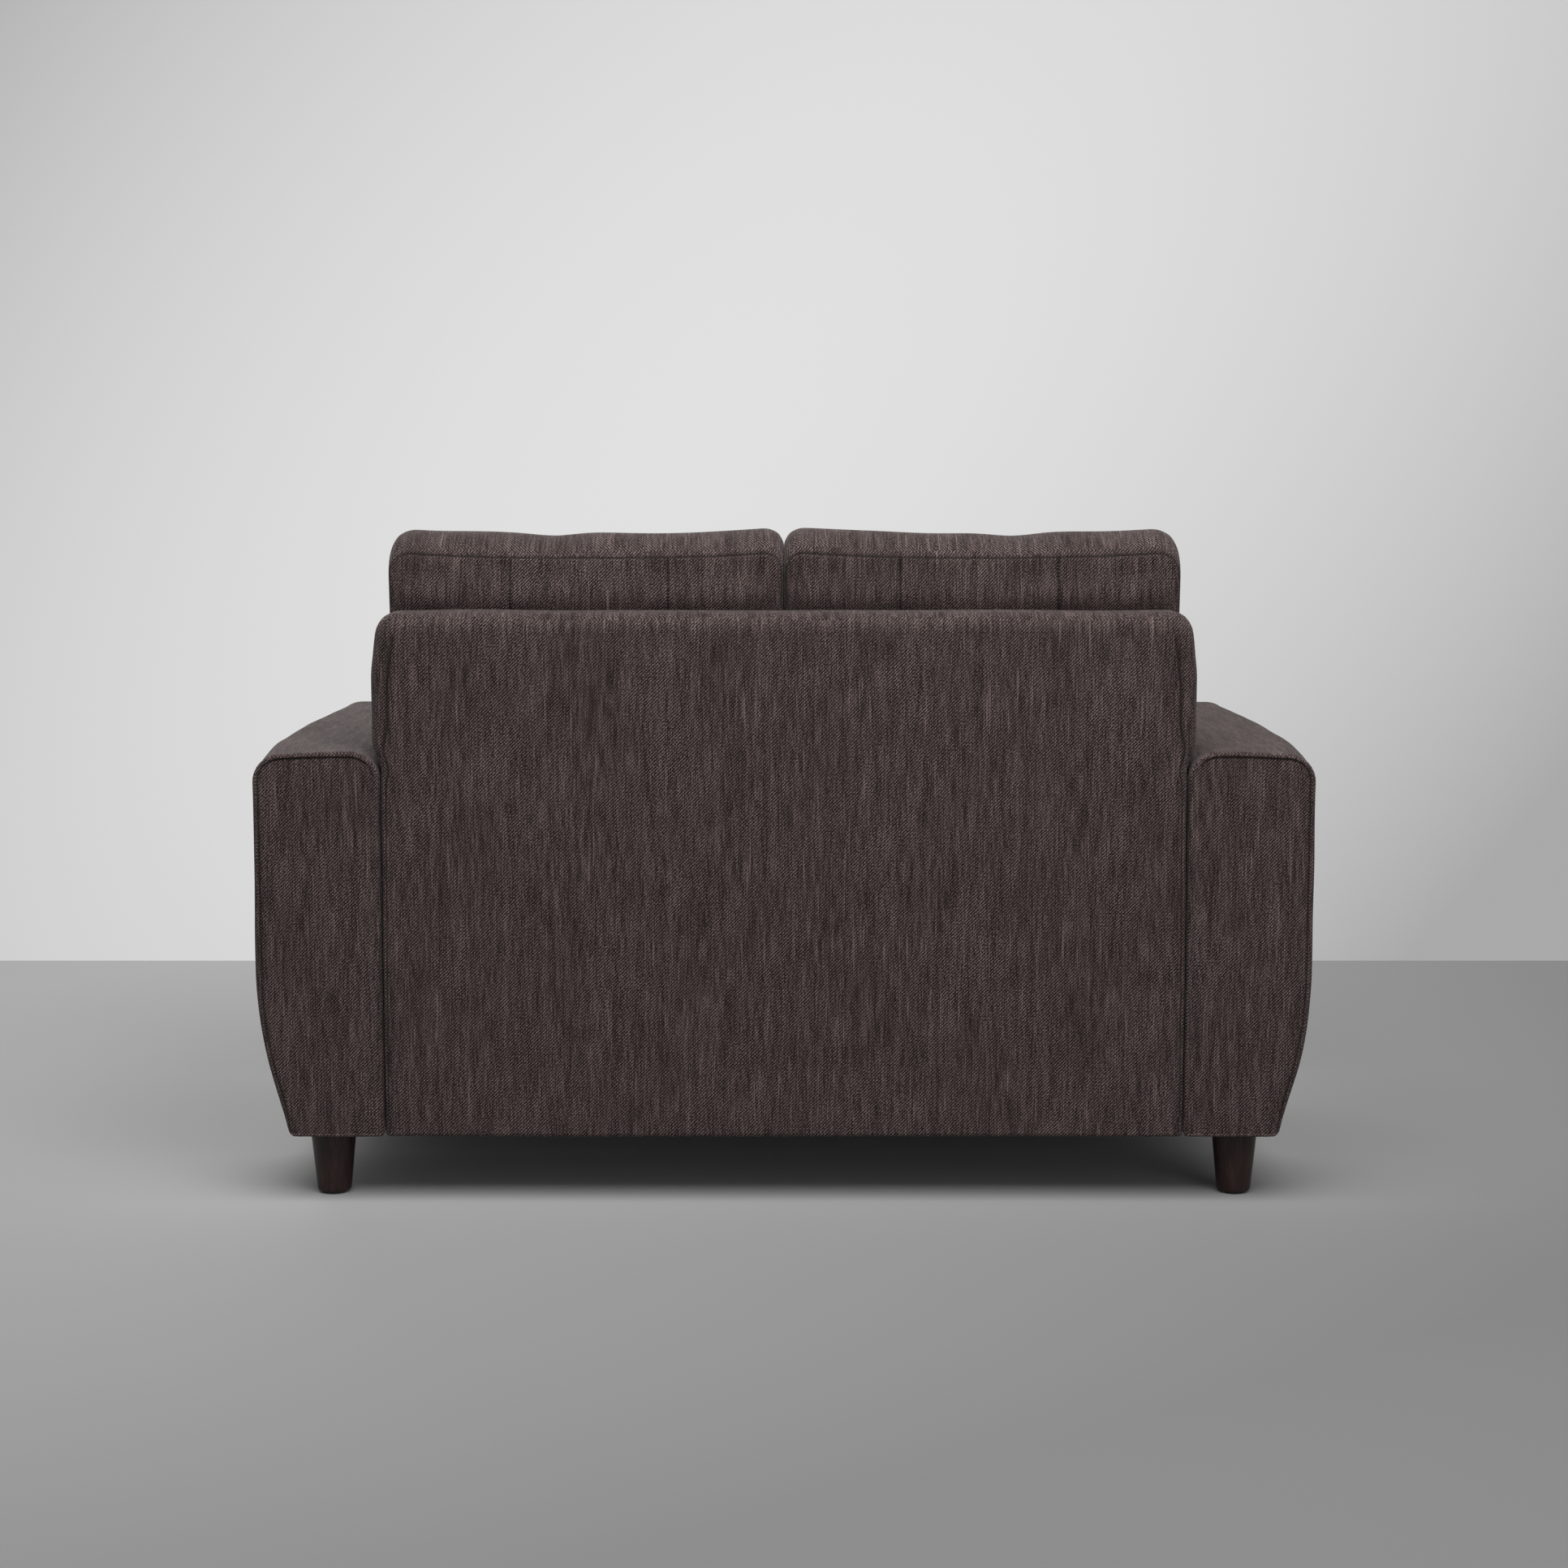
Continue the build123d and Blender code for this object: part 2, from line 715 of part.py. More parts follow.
def leg_parts():
    """The four legs with their hanger bolts, nuts, glides and the holes for them."""
    grip = cloth + arm_rail
    glide = extrude(Circle(glide_diameter / 2), amount=glide_thickness)
    parts = {"legs": [], "leg_bolts": [], "leg_nuts": [], "leg_glides": [], "holes": []}
    for x, y in leg_places:
        foot = Pos(x, y, leg_height - leg_bolt_depth)
        hole = foot * shank(bolt_diameter / 2 + fit_clearance, leg_bolt_depth + grip + cut_overrun)
        parts["legs"].append(leg(x, y, hole))
        parts["leg_bolts"].append(foot * shank(bolt_diameter / 2, leg_bolt_depth + grip + nut_height))
        parts["leg_nuts"].append(Pos(x, y, leg_height + grip) * nut())
        parts["leg_glides"].append(Pos(x, y, 0) * glide)
        parts["holes"].append(hole)
    return parts


def write_arms(screw_holes, leg_holes):
    """Every piece of both arms."""
    foam_space = arm_space(cloth)
    core = arm_space(cloth + arm_foam)
    cover = less(arm_body() - foam_space, screw_holes + leg_holes)
    panels, rails = arm_frame(core)
    foam = foam_space - core - rails["inner"]
    rails["inner"] = less(rails["inner"], screw_holes)
    rails["floor"] = less(rails["floor"], leg_holes)
    front, rear = arm_facings()
    pieces = {
        "arm_cover": [cover],
        "arm_foam": [foam],
        "arm_end_panels": panels,
        "arm_rails": list(rails.values()),
        "arm_front_facing": [front],
        "arm_rear_facing": [rear],
    }
    for name, shapes in pieces.items():
        write(f"right_{name}", shapes)
        write(f"left_{name}", [mirrored(shape) for shape in shapes])


def write_back(screw_holes):
    """Every piece of the back."""
    under_cloth = back_skin(cloth)
    under_wadding = back_body(back_inset, back_inset)
    core = back_body(back_inset, back_inset + back_board)
    straps = back_straps()
    posts, rails, lower_rails = back_frame(core)
    write("back_cover", [less(back_skin(0) - under_cloth, screw_holes)])
    write("back_wadding", [less(under_cloth - under_wadding, straps + lower_rails)])
    write("outside_back_board", [under_wadding - core])
    write("back_posts", posts)
    write("back_rails", rails + [less(piece, screw_holes) for piece in lower_rails])
    write("back_webbing", straps)


def write_seat_box(arm_holes, back_holes):
    """Every piece of the seat box."""
    cover, pad, foam = seat_layers()
    right_rail = rail_board(spring_front_y, spring_rear_y, arm_inner_x - rail, arm_inner_x)
    right_rail = less(right_rail, arm_holes)
    rear_rail = less(rail_board(spring_rear_y, back_front_y, -arm_inner_x, arm_inner_x), back_holes)
    blocks = [corner_block(), rear_corner_block()]
    one_spring = spring()
    write("seat_cover", [cover])
    write("deck_pad", [pad])
    write("front_border_foam", [foam])
    write("front_rail", [rail_board(front_rail_y, spring_front_y, -arm_inner_x, arm_inner_x)])
    write("rear_rail", [rear_rail])
    write("side_rails", [right_rail, mirrored(right_rail)])
    centre_upright = (frame_floor, frame_floor + centre_rail_height)
    write("centre_rail", [block((-rail / 2, rail / 2), (spring_front_y, spring_rear_y), centre_upright)])
    write("corner_blocks", blocks + [mirrored(piece) for piece in blocks])
    dust_front = seat_front_y + cloth
    dust_cover = block((-arm_inner_x, arm_inner_x), (dust_front, back_front_y), (leg_height, frame_floor))
    write("dust_cover", [dust_cover])
    write("seat_springs", [Pos(x, 0, 0) * one_spring for x in spring_places()])
    write("spring_clips", [clip for x in spring_places() for clip in clips_at(x)])


def write_cushions():
    """The four loose cushions, each as a padded cover, a foam core and a zip."""
    for kind, parts in (("seat", seat_cushion_parts()), ("back", back_cushion_parts())):
        for layer, piece in zip(("cover", "foam", "zip"), parts):
            write(f"right_{kind}_cushion_{layer}", [piece])
            write(f"left_{kind}_cushion_{layer}", [mirrored(piece)])


def write_all():
    """Every piece of the sofa."""
    arm_sets = arm_screw_sets()
    back_sets = back_screw_sets()
    arm_holes = [screws["hole"] for screws in arm_sets]
    back_holes = [screws["hole"] for screws in back_sets]
    legs = leg_parts()
    write_arms(arm_holes, legs["holes"])
    write_back(back_holes)
    write_seat_box(arm_holes, back_holes)
    write_cushions()
    for name in ("legs", "leg_bolts", "leg_nuts", "leg_glides"):
        write(name, legs[name])
    right_screws = [screws["screw"] for screws in arm_sets]
    write("arm_screws", right_screws + [mirrored(piece) for piece in right_screws])
    write("back_screws", [screws["screw"] for screws in back_sets])


write_all()
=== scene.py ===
# %% [markdown]
# # Two-seater sofa, seen from behind
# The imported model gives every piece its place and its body. This lesson dresses it: each padded part gets a
# closed skin of cloth with its seams, the legs get their turned shape, and every finish is made of nodes.
# %% Load the frame
import json
from math import atan2, cos, degrees, pi, radians, sin, tan

import bpy
import numpy as np
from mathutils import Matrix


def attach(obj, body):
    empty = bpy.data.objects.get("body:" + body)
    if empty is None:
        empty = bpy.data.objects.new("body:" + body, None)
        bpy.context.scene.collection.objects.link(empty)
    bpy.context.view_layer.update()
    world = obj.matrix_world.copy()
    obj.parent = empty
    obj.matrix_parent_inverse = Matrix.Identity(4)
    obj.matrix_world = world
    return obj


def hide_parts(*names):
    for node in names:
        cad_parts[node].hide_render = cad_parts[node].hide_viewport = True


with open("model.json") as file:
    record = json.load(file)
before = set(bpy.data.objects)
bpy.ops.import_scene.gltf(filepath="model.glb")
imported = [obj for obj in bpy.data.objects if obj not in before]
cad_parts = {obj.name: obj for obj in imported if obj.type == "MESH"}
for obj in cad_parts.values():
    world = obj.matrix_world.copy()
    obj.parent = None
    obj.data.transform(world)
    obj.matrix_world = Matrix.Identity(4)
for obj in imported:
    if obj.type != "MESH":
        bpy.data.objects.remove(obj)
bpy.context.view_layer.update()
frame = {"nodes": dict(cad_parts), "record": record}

# %% [markdown]
# ## Camera
# The picture is taken from straight behind, a little above the top of the sofa, with a long lens that looks
# slightly down. A camera is set here as a real one is: a place, a tilt and a focal length. A wide lens close
# by could fill the picture too, but it would show more of the arm tops and make the sides lean.
# %% Camera
image_size = 1932
focal_pixels = 3649
sensor_width = 36.0
camera_place = (0.0, 4.549, 1.084)
look_down = 6.665

camera_data = bpy.data.cameras.new("camera")
camera_data.sensor_width = sensor_width
camera_data.lens = sensor_width * focal_pixels / image_size
camera = bpy.data.objects.new("camera", camera_data)
camera.location = camera_place
camera.rotation_euler = (radians(90 - look_down), 0.0, radians(180))
bpy.context.scene.collection.objects.link(camera)
bpy.context.scene.camera = camera
print("lens", round(camera_data.lens, 1), "mm")

# %% [markdown]
# ## Shader maths as plain expressions
# A node tree could be built by hand in the editor, but its maths is easier to read when it looks like maths.
# A small class wraps one output socket, and each operator adds the Math node that it stands for. One method
# adds every other kind of node.
# %% Shader maths


class Value:
    """One output socket of a node tree, with Python's operators turned into Math nodes. The value that a
    material starts from has no socket and only adds nodes."""

    def __init__(self, tree, socket=None):
        self.tree = tree
        self.socket = socket

    def add(self, kind, settings=None, inputs=None, output=0):
        """A new node: its type, its settings, then the values or links of its sockets. Gives one output."""
        node = self.tree.nodes.new(kind)
        for name, value in (settings or {}).items():
            if name == "stops":
                set_stops(node.color_ramp.elements, value)
            else:
                setattr(node, name, value)
        for name, value in (inputs or {}).items():
            if isinstance(value, Value):
                self.tree.links.new(value.socket, node.inputs[name])
            else:
                node.inputs[name].default_value = value
        return Value(self.tree, node.outputs[output])

    def math(self, operation, *others):
        """A Math node of this socket and the others."""
        return self.add("ShaderNodeMath", {"operation": operation}, dict(enumerate((self, *others))))

    def output(self, number):
        """Another output of the node that this socket is on."""
        return Value(self.tree, self.socket.node.outputs[number])

    def __add__(self, other):
        return self.math("ADD", other)

    def __sub__(self, other):
        return self.math("SUBTRACT", other)

    def __mul__(self, other):
        return self.math("MULTIPLY", other)

    def __rsub__(self, other):
        return self.add("ShaderNodeMath", {"operation": "SUBTRACT"}, {0: other, 1: self})

    __radd__ = __add__
    __rmul__ = __mul__


def set_stops(ramp, stops):
    """Gives a colour ramp its stops, each a place from 0 to 1 and a colour."""
    while len(ramp) < len(stops):
        ramp.new(1.0)
    for element, (place, colour) in zip(ramp, stops):
        element.position = place
        element.color = (*colour, 1.0)


print("shader maths ready")

# %% [markdown]
# Some nodes come back in every material: the point's place, the three numbers of a vector, a mix of two
# colours, a noise pattern stretched along its axes, a grey, and the link to the output. Each gets a short
# name here, so that a material below reads as a recipe.
# %% Shader shorthands


def new_material(name):
    """A material with an empty tree, and the value that its nodes start from."""
    material = bpy.data.materials.new(name)
    material.use_nodes = True
    material.node_tree.nodes.clear()
    return material, Value(material.node_tree)


def object_place(start):
    """The point's place on its object, in metres."""
    return start.add("ShaderNodeTexCoord", output=3)


def axes(vector):
    """The three numbers of a vector."""
    first = vector.add("ShaderNodeSeparateXYZ", {}, {0: vector})
    return first, first.output(1), first.output(2)


def mix(share, first, second):
    """A colour between two others."""
    return share.add("ShaderNodeMix", {"data_type": "RGBA"}, {0: share, 6: first, 7: second}, output=2)


def noise(vector, scale, detail, roughness):
    """Noise from 0 to 1. Its scale, in cycles a metre, is a number for each axis of the coordinates."""
    stretched = vector.add("ShaderNodeMapping", {}, {"Vector": vector, "Scale": scale})
    inputs = {"Vector": stretched, "Scale": 1.0, "Detail": detail, "Roughness": roughness}
    return vector.add("ShaderNodeTexNoise", {}, inputs)


def grey(level):
    """A grey of a varying level."""
    return level.add("ShaderNodeCombineColor", {}, {0: level, 1: level, 2: level})


def close(shader):
    """Joins a shader to the output of its material."""
    out = shader.tree.nodes.new("ShaderNodeOutputMaterial")
    shader.tree.links.new(shader.socket, out.inputs["Surface"])


print("shader shorthands ready")

# %% [markdown]
# ## Floor
# The room is a plain grey floor and a pale wall. One even grey would do for the floor, but this floor fades
# to one side and towards the camera, and the shadow round the sofa is faint. So its grey holds painted light:
# it follows the place on the floor as a painted falloff of light, and it rises near the sofa as painted light
# that makes up for a part of the shadow.
# %% Floor
floor_half = 14.0
floor_grey, painted_light_slope_across, painted_light_slope_along = 0.262, 0.045, 0.055
darkest_floor, lightest_floor = 0.17, 0.40
painted_light_half_width, painted_light_half_depth, painted_light_shift, painted_light_fade = 0.74, 0.27, 0.15, -6.7


def plain_quad(name, corners):
    """A single flat face between four corners, as an object in the scene."""
    mesh = bpy.data.meshes.new(name)
    mesh.from_pydata(corners, [], [(0, 1, 2, 3)])
    quad = bpy.data.objects.new(name, mesh)
    bpy.context.scene.collection.objects.link(quad)
    return quad


def painted_light_near_sofa(across, along):
    """Painted light near the sofa, which makes up for a part of its shadow: one plus e to the power of minus
    the distance from a rectangle round the sofa, times a rate.
    """
    beside = (across.math("ABSOLUTE") - painted_light_half_width).math("MAXIMUM", 0.0)
    before = ((along + painted_light_shift).math("ABSOLUTE") - painted_light_half_depth).math("MAXIMUM", 0.0)
    gap = (beside * beside + before * before).math("SQRT")
    return 1 + (gap * painted_light_fade).math("EXPONENT")


floor = plain_quad("studio_floor", [(-floor_half, -floor_half, 0), (floor_half, -floor_half, 0),
                                    (floor_half, floor_half, 0), (-floor_half, floor_half, 0)])
material, start = new_material("studio_floor")
across, along, _ = axes(object_place(start))
# painted light: the grey falls off to one side and towards the camera, as uneven lamp light would
level = across * painted_light_slope_across - along * painted_light_slope_along + floor_grey
level = level.math("MINIMUM", lightest_floor).math("MAXIMUM", darkest_floor)
# painted light near the sofa, which makes up for a part of its shadow
level = level * painted_light_near_sofa(across, along)
close(start.add("ShaderNodeBsdfDiffuse", {}, {"Color": grey(level)}))
floor.data.materials.append(material)
print("floor", floor_half * 2, "m wide")

# %% [markdown]
# ## Wall
# The wall glows by itself, brightest above the sofa, as a lit backdrop does. Lamps could light it, but then
# they would light the sofa too. It is clear from behind and gives no light or shadow, so that the light
# reaches the sofa from all round and the other views stay open.
# %% Wall
wall_y, wall_top = -1.55, 9.0
bright_side, bright_height = 0.147, 1.12
brightest, dimmest = 0.75, 0.40
side_fall, up_fall, corner_fall = 0.071, 0.067, 0.073

wall = plain_quad("studio_wall", [(floor_half, wall_y, 0), (-floor_half, wall_y, 0),
                                  (-floor_half, wall_y, wall_top), (floor_half, wall_y, wall_top)])
material, start = new_material("studio_wall")
across, _, height = axes(object_place(start))
aside = across - bright_side
above = height - bright_height
glow = brightest - aside * aside * side_fall - above * above * up_fall - aside * above * corner_fall
shine = start.add("ShaderNodeEmission", {}, {"Color": grey(glow.math("MAXIMUM", dimmest)), "Strength": 1.0})
clear = start.add("ShaderNodeBsdfTransparent")
from_behind = start.add("ShaderNodeNewGeometry", output=6)
close(start.add("ShaderNodeMixShader", {}, {0: from_behind, 1: shine, 2: clear}))
wall.data.materials.append(material)
wall.visible_diffuse = False
wall.visible_glossy = False
wall.visible_shadow = False
print("wall", wall_top, "m high at y", wall_y)

# %% [markdown]
# ## Light
# A photographer lights such a sofa with large soft boxes, and area lights stand for them. The largest hangs
# above and a little behind the sofa, and lights all that faces up. Two from the camera's side lift the back,
# one from the front keeps the seat from going black, and a grey world stands for the walls of the room.
# %% Light
world_grey = (0.60, 0.60, 0.60, 1.0)
world_strength = 0.46

world = bpy.data.worlds.new("studio")
world.use_nodes = True
background = world.node_tree.nodes["Background"]
background.inputs[0].default_value = world_grey
background.inputs[1].default_value = world_strength
bpy.context.scene.world = world
bpy.context.scene.view_settings.view_transform = "Standard"


def lamp(name, place, target, size, power):
    """A rectangular area light at a place that looks at a target. Its size is its width and its height."""
    data = bpy.data.lights.new(name, "AREA")
    data.shape = "RECTANGLE"
    data.size, data.size_y = size
    data.energy = power
    light = bpy.data.objects.new(name, data)
    light.location = place
    aim = np.array(target) - np.array(place)
    flat = float(np.hypot(aim[0], aim[1]))
    light.rotation_euler = (atan2(flat, -aim[2]), 0.0, atan2(-aim[0], aim[1]))
    bpy.context.scene.collection.objects.link(light)


lamp("key", (-2.9, 4.0, 3.0), (0.0, 0.2, 0.5), (3.0, 2.2), 28)
lamp("overhead", (-0.1, 1.7, 3.4), (0.0, 0.1, 0.4), (3.4, 3.2), 186)
lamp("side_fill", (-3.0, 6.5, 1.9), (0.0, 0.0, 0.3), (4.0, 2.0), 66)
lamp("front_fill", (1.6, -4.8, 2.1), (0.0, -0.3, 0.5), (3.0, 2.6), 105)
print("lamps", len(bpy.data.lights))

# %% [markdown]
# ## Woven cloth
# The cover is a coarse woven cloth of dark taupe yarn. Light and dark yarns run upright in broken streaks,
# and between them the weave shows as fine specks under slanted twill lines. A photograph of cloth would
# repeat and blur, so the pattern is worked out from numbers. It is laid out in metres on each panel's own
# map, so that it keeps its size and its grain follows the way the panel was cut.
# %% Cloth
# Pitches are in metres and scales in cycles a metre. A share says how strongly a pattern colours the cloth,
# and a rise how strongly it lifts it.
chequer_pitch, twill_pitch = 0.0023, 0.0048
streak_scale = (430.0, 26.0, 1.0)
band_scale = (90.0, 6.0, 1.0)
speck_scale = (460.0, 400.0, 1.0)
patch_scale = (9.0, 5.0, 1.0)
thread_scale = (300.0, 9.0, 1.0)
thread_start = 0.63
chequer_share, twill_share, streak_share, band_share, thread_share = 0.05, 0.40, 0.80, 0.40, 2.0
speck_in_patch, speck_outside = 2.2, -0.1
chequer_rise, twill_rise, streak_rise, speck_rise = 0.4, 0.3, 0.7, 1.5
# painted shade for the seams' creases and the joints between parts: its colour and how strongly it darkens
# the cloth
painted_crease_shade = (0.006, 0.0045, 0.0042, 1.0)
painted_crease_shade_share = 0.88
dark_yarn = (0.0022, 0.0012, 0.0011)
taupe_yarn = (0.0245, 0.0162, 0.0154)
light_yarn = (0.148, 0.111, 0.106)


def yarn_tone_and_relief(plane):
    """How light the yarn is, and how high it stands: a chequer of two sines, twill lines as a sine of the
    sum, and noise stretched along the yarn for streaks, bands, specks and a few light threads."""
    across, along, _ = axes(plane)
    chequer = (across * (pi / chequer_pitch)).math("SINE") * (along * (pi / chequer_pitch)).math("SINE")
    twill = ((across + along) * (2 * pi / twill_pitch)).math("SINE")
    streak = noise(plane, streak_scale, detail=2.0, roughness=0.6) - 0.5
    band = noise(plane, band_scale, detail=2.0, roughness=0.55) - 0.5
    speck = noise(plane, speck_scale, detail=1.0, roughness=0.5) - 0.5
    patch = noise(plane, patch_scale, detail=2.0, roughness=0.5)
    light = noise(plane, thread_scale, detail=1.0, roughness=0.5)
    thread = (light - thread_start).math("MAXIMUM", 0.0)
    weave = chequer * chequer_share + twill * patch * twill_share
    specks = speck * (patch * speck_in_patch + speck_outside)
    streaks = streak * streak_share + band * band_share
    tone = 0.5 + specks + streaks + weave + thread * thread_share
    relief = chequer * chequer_rise + streak * streak_rise + speck * speck_rise + twill * twill_rise
    return tone, relief


def cloth_material(name, dark, middle, light):
    """Woven cloth: its tone goes through a ramp of three yarns, and painted shade darkens the seams' creases
    and the joints between parts.
    """
    material, start = new_material(name)
    tone, relief = yarn_tone_and_relief(start.add("ShaderNodeUVMap", {"uv_map": "cloth"}))
    stops = [(0.05, dark), (0.45, middle), (0.95, light)]
    yarn = start.add("ShaderNodeValToRGB", {"stops": stops}, {0: tone})
    # painted shade: the seam marks darken the yarn's colour
    crease = start.add("ShaderNodeAttribute", {"attribute_name": "crease"}, output=2)
    colour = mix(crease * painted_crease_shade_share, yarn, painted_crease_shade)
    bump = start.add("ShaderNodeBump", {}, {"Strength": 0.6, "Distance": 0.0010, "Height": relief})
    close(start.add("ShaderNodeBsdfPrincipled", {}, {
        "Base Color": colour,
        "Roughness": 0.92,
        "Specular IOR Level": 0.12,
        "Sheen Weight": 0.10,
        "Sheen Roughness": 0.45,
        "Sheen Tint": (0.85, 0.80, 0.78, 1.0),
        "Normal": bump,
    }))
    return material


upholstery = cloth_material("taupe_weave", dark_yarn, taupe_yarn, light_yarn)
print("cloth", upholstery.name)

# %% [markdown]
# ## A padded block with a seam at each end
# An arm, a back and a cushion are all made alike: two panels joined by a strip that runs round them. So one
# set of functions makes them all. It cuts the surface of a cube by a grid, and then works out where each grid
# point goes: round the outline, over the rim, or across a panel. Sculpting would give such forms too, but a
# form made of numbers is easy to change, and its seams stay where they are meant to be.
# %% Grid helpers


def block_grid(lines):
    """The surface of a cube cut along three rising rows of numbers from -1 to 1.
    Gives the corners as rows of three numbers, and the quads, with each edge shared."""
    counts = [len(row) for row in lines]
    at = np.indices(counts)
    skin = np.any([(at[axis] == 0) | (at[axis] == counts[axis] - 1) for axis in range(3)], axis=0)
    number = np.full(counts, -1)
    number[skin] = np.arange(skin.sum())
    corners = np.stack([lines[axis][at[axis][skin]] for axis in range(3)], axis=1)
    quads = []
    for axis in range(3):
        for end in (0, -1):
            face = np.take(number, end, axis=axis)
            ring = [face[:-1, :-1], face[1:, :-1], face[1:, 1:], face[:-1, 1:]]
            outward = (end == -1) != (axis == 1)
            ring = ring if outward else ring[::-1]
            quads.append(np.stack([part.ravel() for part in ring], axis=1))
    return corners, np.concatenate(quads)


def faces_out(points, quads):
    """The same quads, turned round where their signed volume says that they face inwards."""
    a, b, c, d = points[quads.T]
    volume = (np.cross(a, b) * c).sum() + (np.cross(a, c) * d).sum()
    return quads if volume > 0 else quads[:, ::-1]


def quad_directions(points, quads):
    """The way each quad faces: the cross product of its diagonals."""
    first = points[quads[:, 2]] - points[quads[:, 0]]
    second = points[quads[:, 3]] - points[quads[:, 1]]
    return np.cross(first, second)


def normals_of(points, quads):
    """Outward direction at each corner: the sum of its faces' directions, made one long."""
    directions = quad_directions(points, quads)
    total = np.zeros_like(points)
    for column in range(4):
        np.add.at(total, quads[:, column], directions)
    return total / np.maximum(np.linalg.norm(total, axis=1, keepdims=True), 1e-12)


print("grid helpers ready")

# %% [markdown]
# Cloth over padding is never quite even, and a seam needs finer grid lines beside it than the middle of a
# panel does. These functions give the unevenness, the rows of grid lines, smooth steps, and the hollow of a
# seam and the mark that sets its line of painted shade.
# %% Seam helpers
# The first two rows are metres from a seam. A point whose grid number is past on_end lies on a panel.
beside_seam = np.array([0.0, 0.0012, 0.0028, 0.0055])
beside_channel = np.array([-0.006, -0.003, -0.0013, 0.0, 0.0013, 0.003, 0.006])
closest_lines = 0.35
crease_reach = 0.0023
wave_count, wave_lengths, wave_gain = 10, (0.7, 1.5), 1.6
on_end = 0.999


def ripple(points, size, seed):
    """Gentle unevenness, mostly from -1 to 1: the mean of ten plane waves whose directions are random and
    whose lengths are near the given size."""
    random = np.random.default_rng(seed)
    ways = random.normal(size=(wave_count, 3))
    ways /= np.linalg.norm(ways, axis=1, keepdims=True)
    waves = ways * (2 * pi / (size * random.uniform(*wave_lengths, (wave_count, 1))))
    starts = random.uniform(0, 2 * pi, wave_count)
    return np.sin(points @ waves.T + starts).mean(axis=1) * wave_gain


def edge_lines(step, length, *channels):
    """Rising numbers from -1 to 1 for a side of that length: an even step, and closer lines at the ends and
    at each channel."""
    half = length / 2
    even = np.linspace(-1, 1, max(int(round(length / step)), 4) + 1)
    near = beside_seam / half
    close_rows = [-1 + near, 1 - near]
    for place in channels:
        close_rows.append(place + beside_channel / half)
    marks = np.unique(np.round(np.concatenate(close_rows), 7))
    spare = [value for value in even if np.min(np.abs(marks - value)) > closest_lines * step / half]
    return np.unique(np.concatenate([marks, spare]))


def step_up(value, start, end):
    """A smooth rise from 0 at start to 1 at end."""
    share = np.clip((value - start) / (end - start), 0, 1)
    return share * share * (3 - 2 * share)


def groove(distance, width, depth):
    """A seam's hollow: a bell curve of the distance from it."""
    return -depth * np.exp(-((distance / width) ** 2))


def seam_mark(distance):
    """How strongly a point is marked as lying in a seam, which also sets its painted shade: one at the seam,
    falling to nothing a little over two millimetres off.
    """
    return np.clip(1 - distance / crease_reach, 0, 1)


print("seam helpers ready")

# %% [markdown]
# The outline of a padded block is a rectangle with round corners. A Bevel could round them, but the grid
# would lose its even lines. The square-to-disc rule keeps them: inside a corner's own square, a point (a, b)
# goes to (a root(1 - b²/2), b root(1 - a²/2)).
# %% Outline helpers
least_reach, widest_zone = 0.0005, 0.95


def pull_in(first, second):
    """The square-to-disc rule on two arrays from 0 to 1."""
    return first * np.sqrt(1 - second**2 / 2), second * np.sqrt(1 - first**2 / 2)


def rounded(p, q, low, high, radius, inset):
    """Grid places p and q, from -1 to 1, laid into a rounded rectangle whose sides move in by inset.
    low and high are its two corners, and radius its corner radius, each a number or one for each point."""
    middle = [(low[axis] + high[axis]) / 2 for axis in range(2)]
    half = [(high[axis] - low[axis]) / 2 - inset for axis in range(2)]
    reach = np.maximum(radius - inset, least_reach)
    zone = [np.minimum(reach / half[axis], widest_zone) for axis in range(2)]
    places = (p, q)
    inner = [np.minimum(np.abs(places[axis]), 1 - zone[axis]) for axis in range(2)]
    outer = [np.clip((np.abs(places[axis]) - (1 - zone[axis])) / zone[axis], 0, 1) for axis in range(2)]
    bent = pull_in(*outer)
    laid = []
    for axis in range(2):
        share = inner[axis] + zone[axis] * bent[axis]
        laid.append(middle[axis] + np.sign(places[axis]) * half[axis] * share)
    return laid


def boxed(p, q, r, panel, crest, fullness=0.8):
    """Grid places laid into a boxed cushion's outline: the panel's at the two seams, and the crest's half way
    between them, blended by (1 - r²) to a power. Each outline is its low corner, high corner and radius."""
    share = np.clip(1 - r**2, 0, 1) ** fullness
    pairs = zip(rounded(p, q, *panel, 0.0), rounded(p, q, *crest, 0.0))
    return [at_seam + (at_crest - at_seam) * share for at_seam, at_crest in pairs]


print("outline helpers ready")

# %% [markdown]
# A skin becomes an object with a map for the weave, a mark for its creases that sets their painted shade, and
# its finish. Unwrapping each one would also give a map, but panels are cut flat, so looking at each face
# squarely is enough.
# %% Skin helpers


def cloth_map(points, quads):
    """A map in metres for each quad's corners, seen along the axis that the quad faces most.
    Upright panels keep their height as the second number, and level ones their depth."""
    facing = np.abs(quad_directions(points, quads)).argmax(axis=1)
    pair = np.array([(1, 2), (0, 2), (0, 1)])[facing]
    return np.take_along_axis(points[quads], np.repeat(pair[:, None, :], 4, axis=1), axis=2)


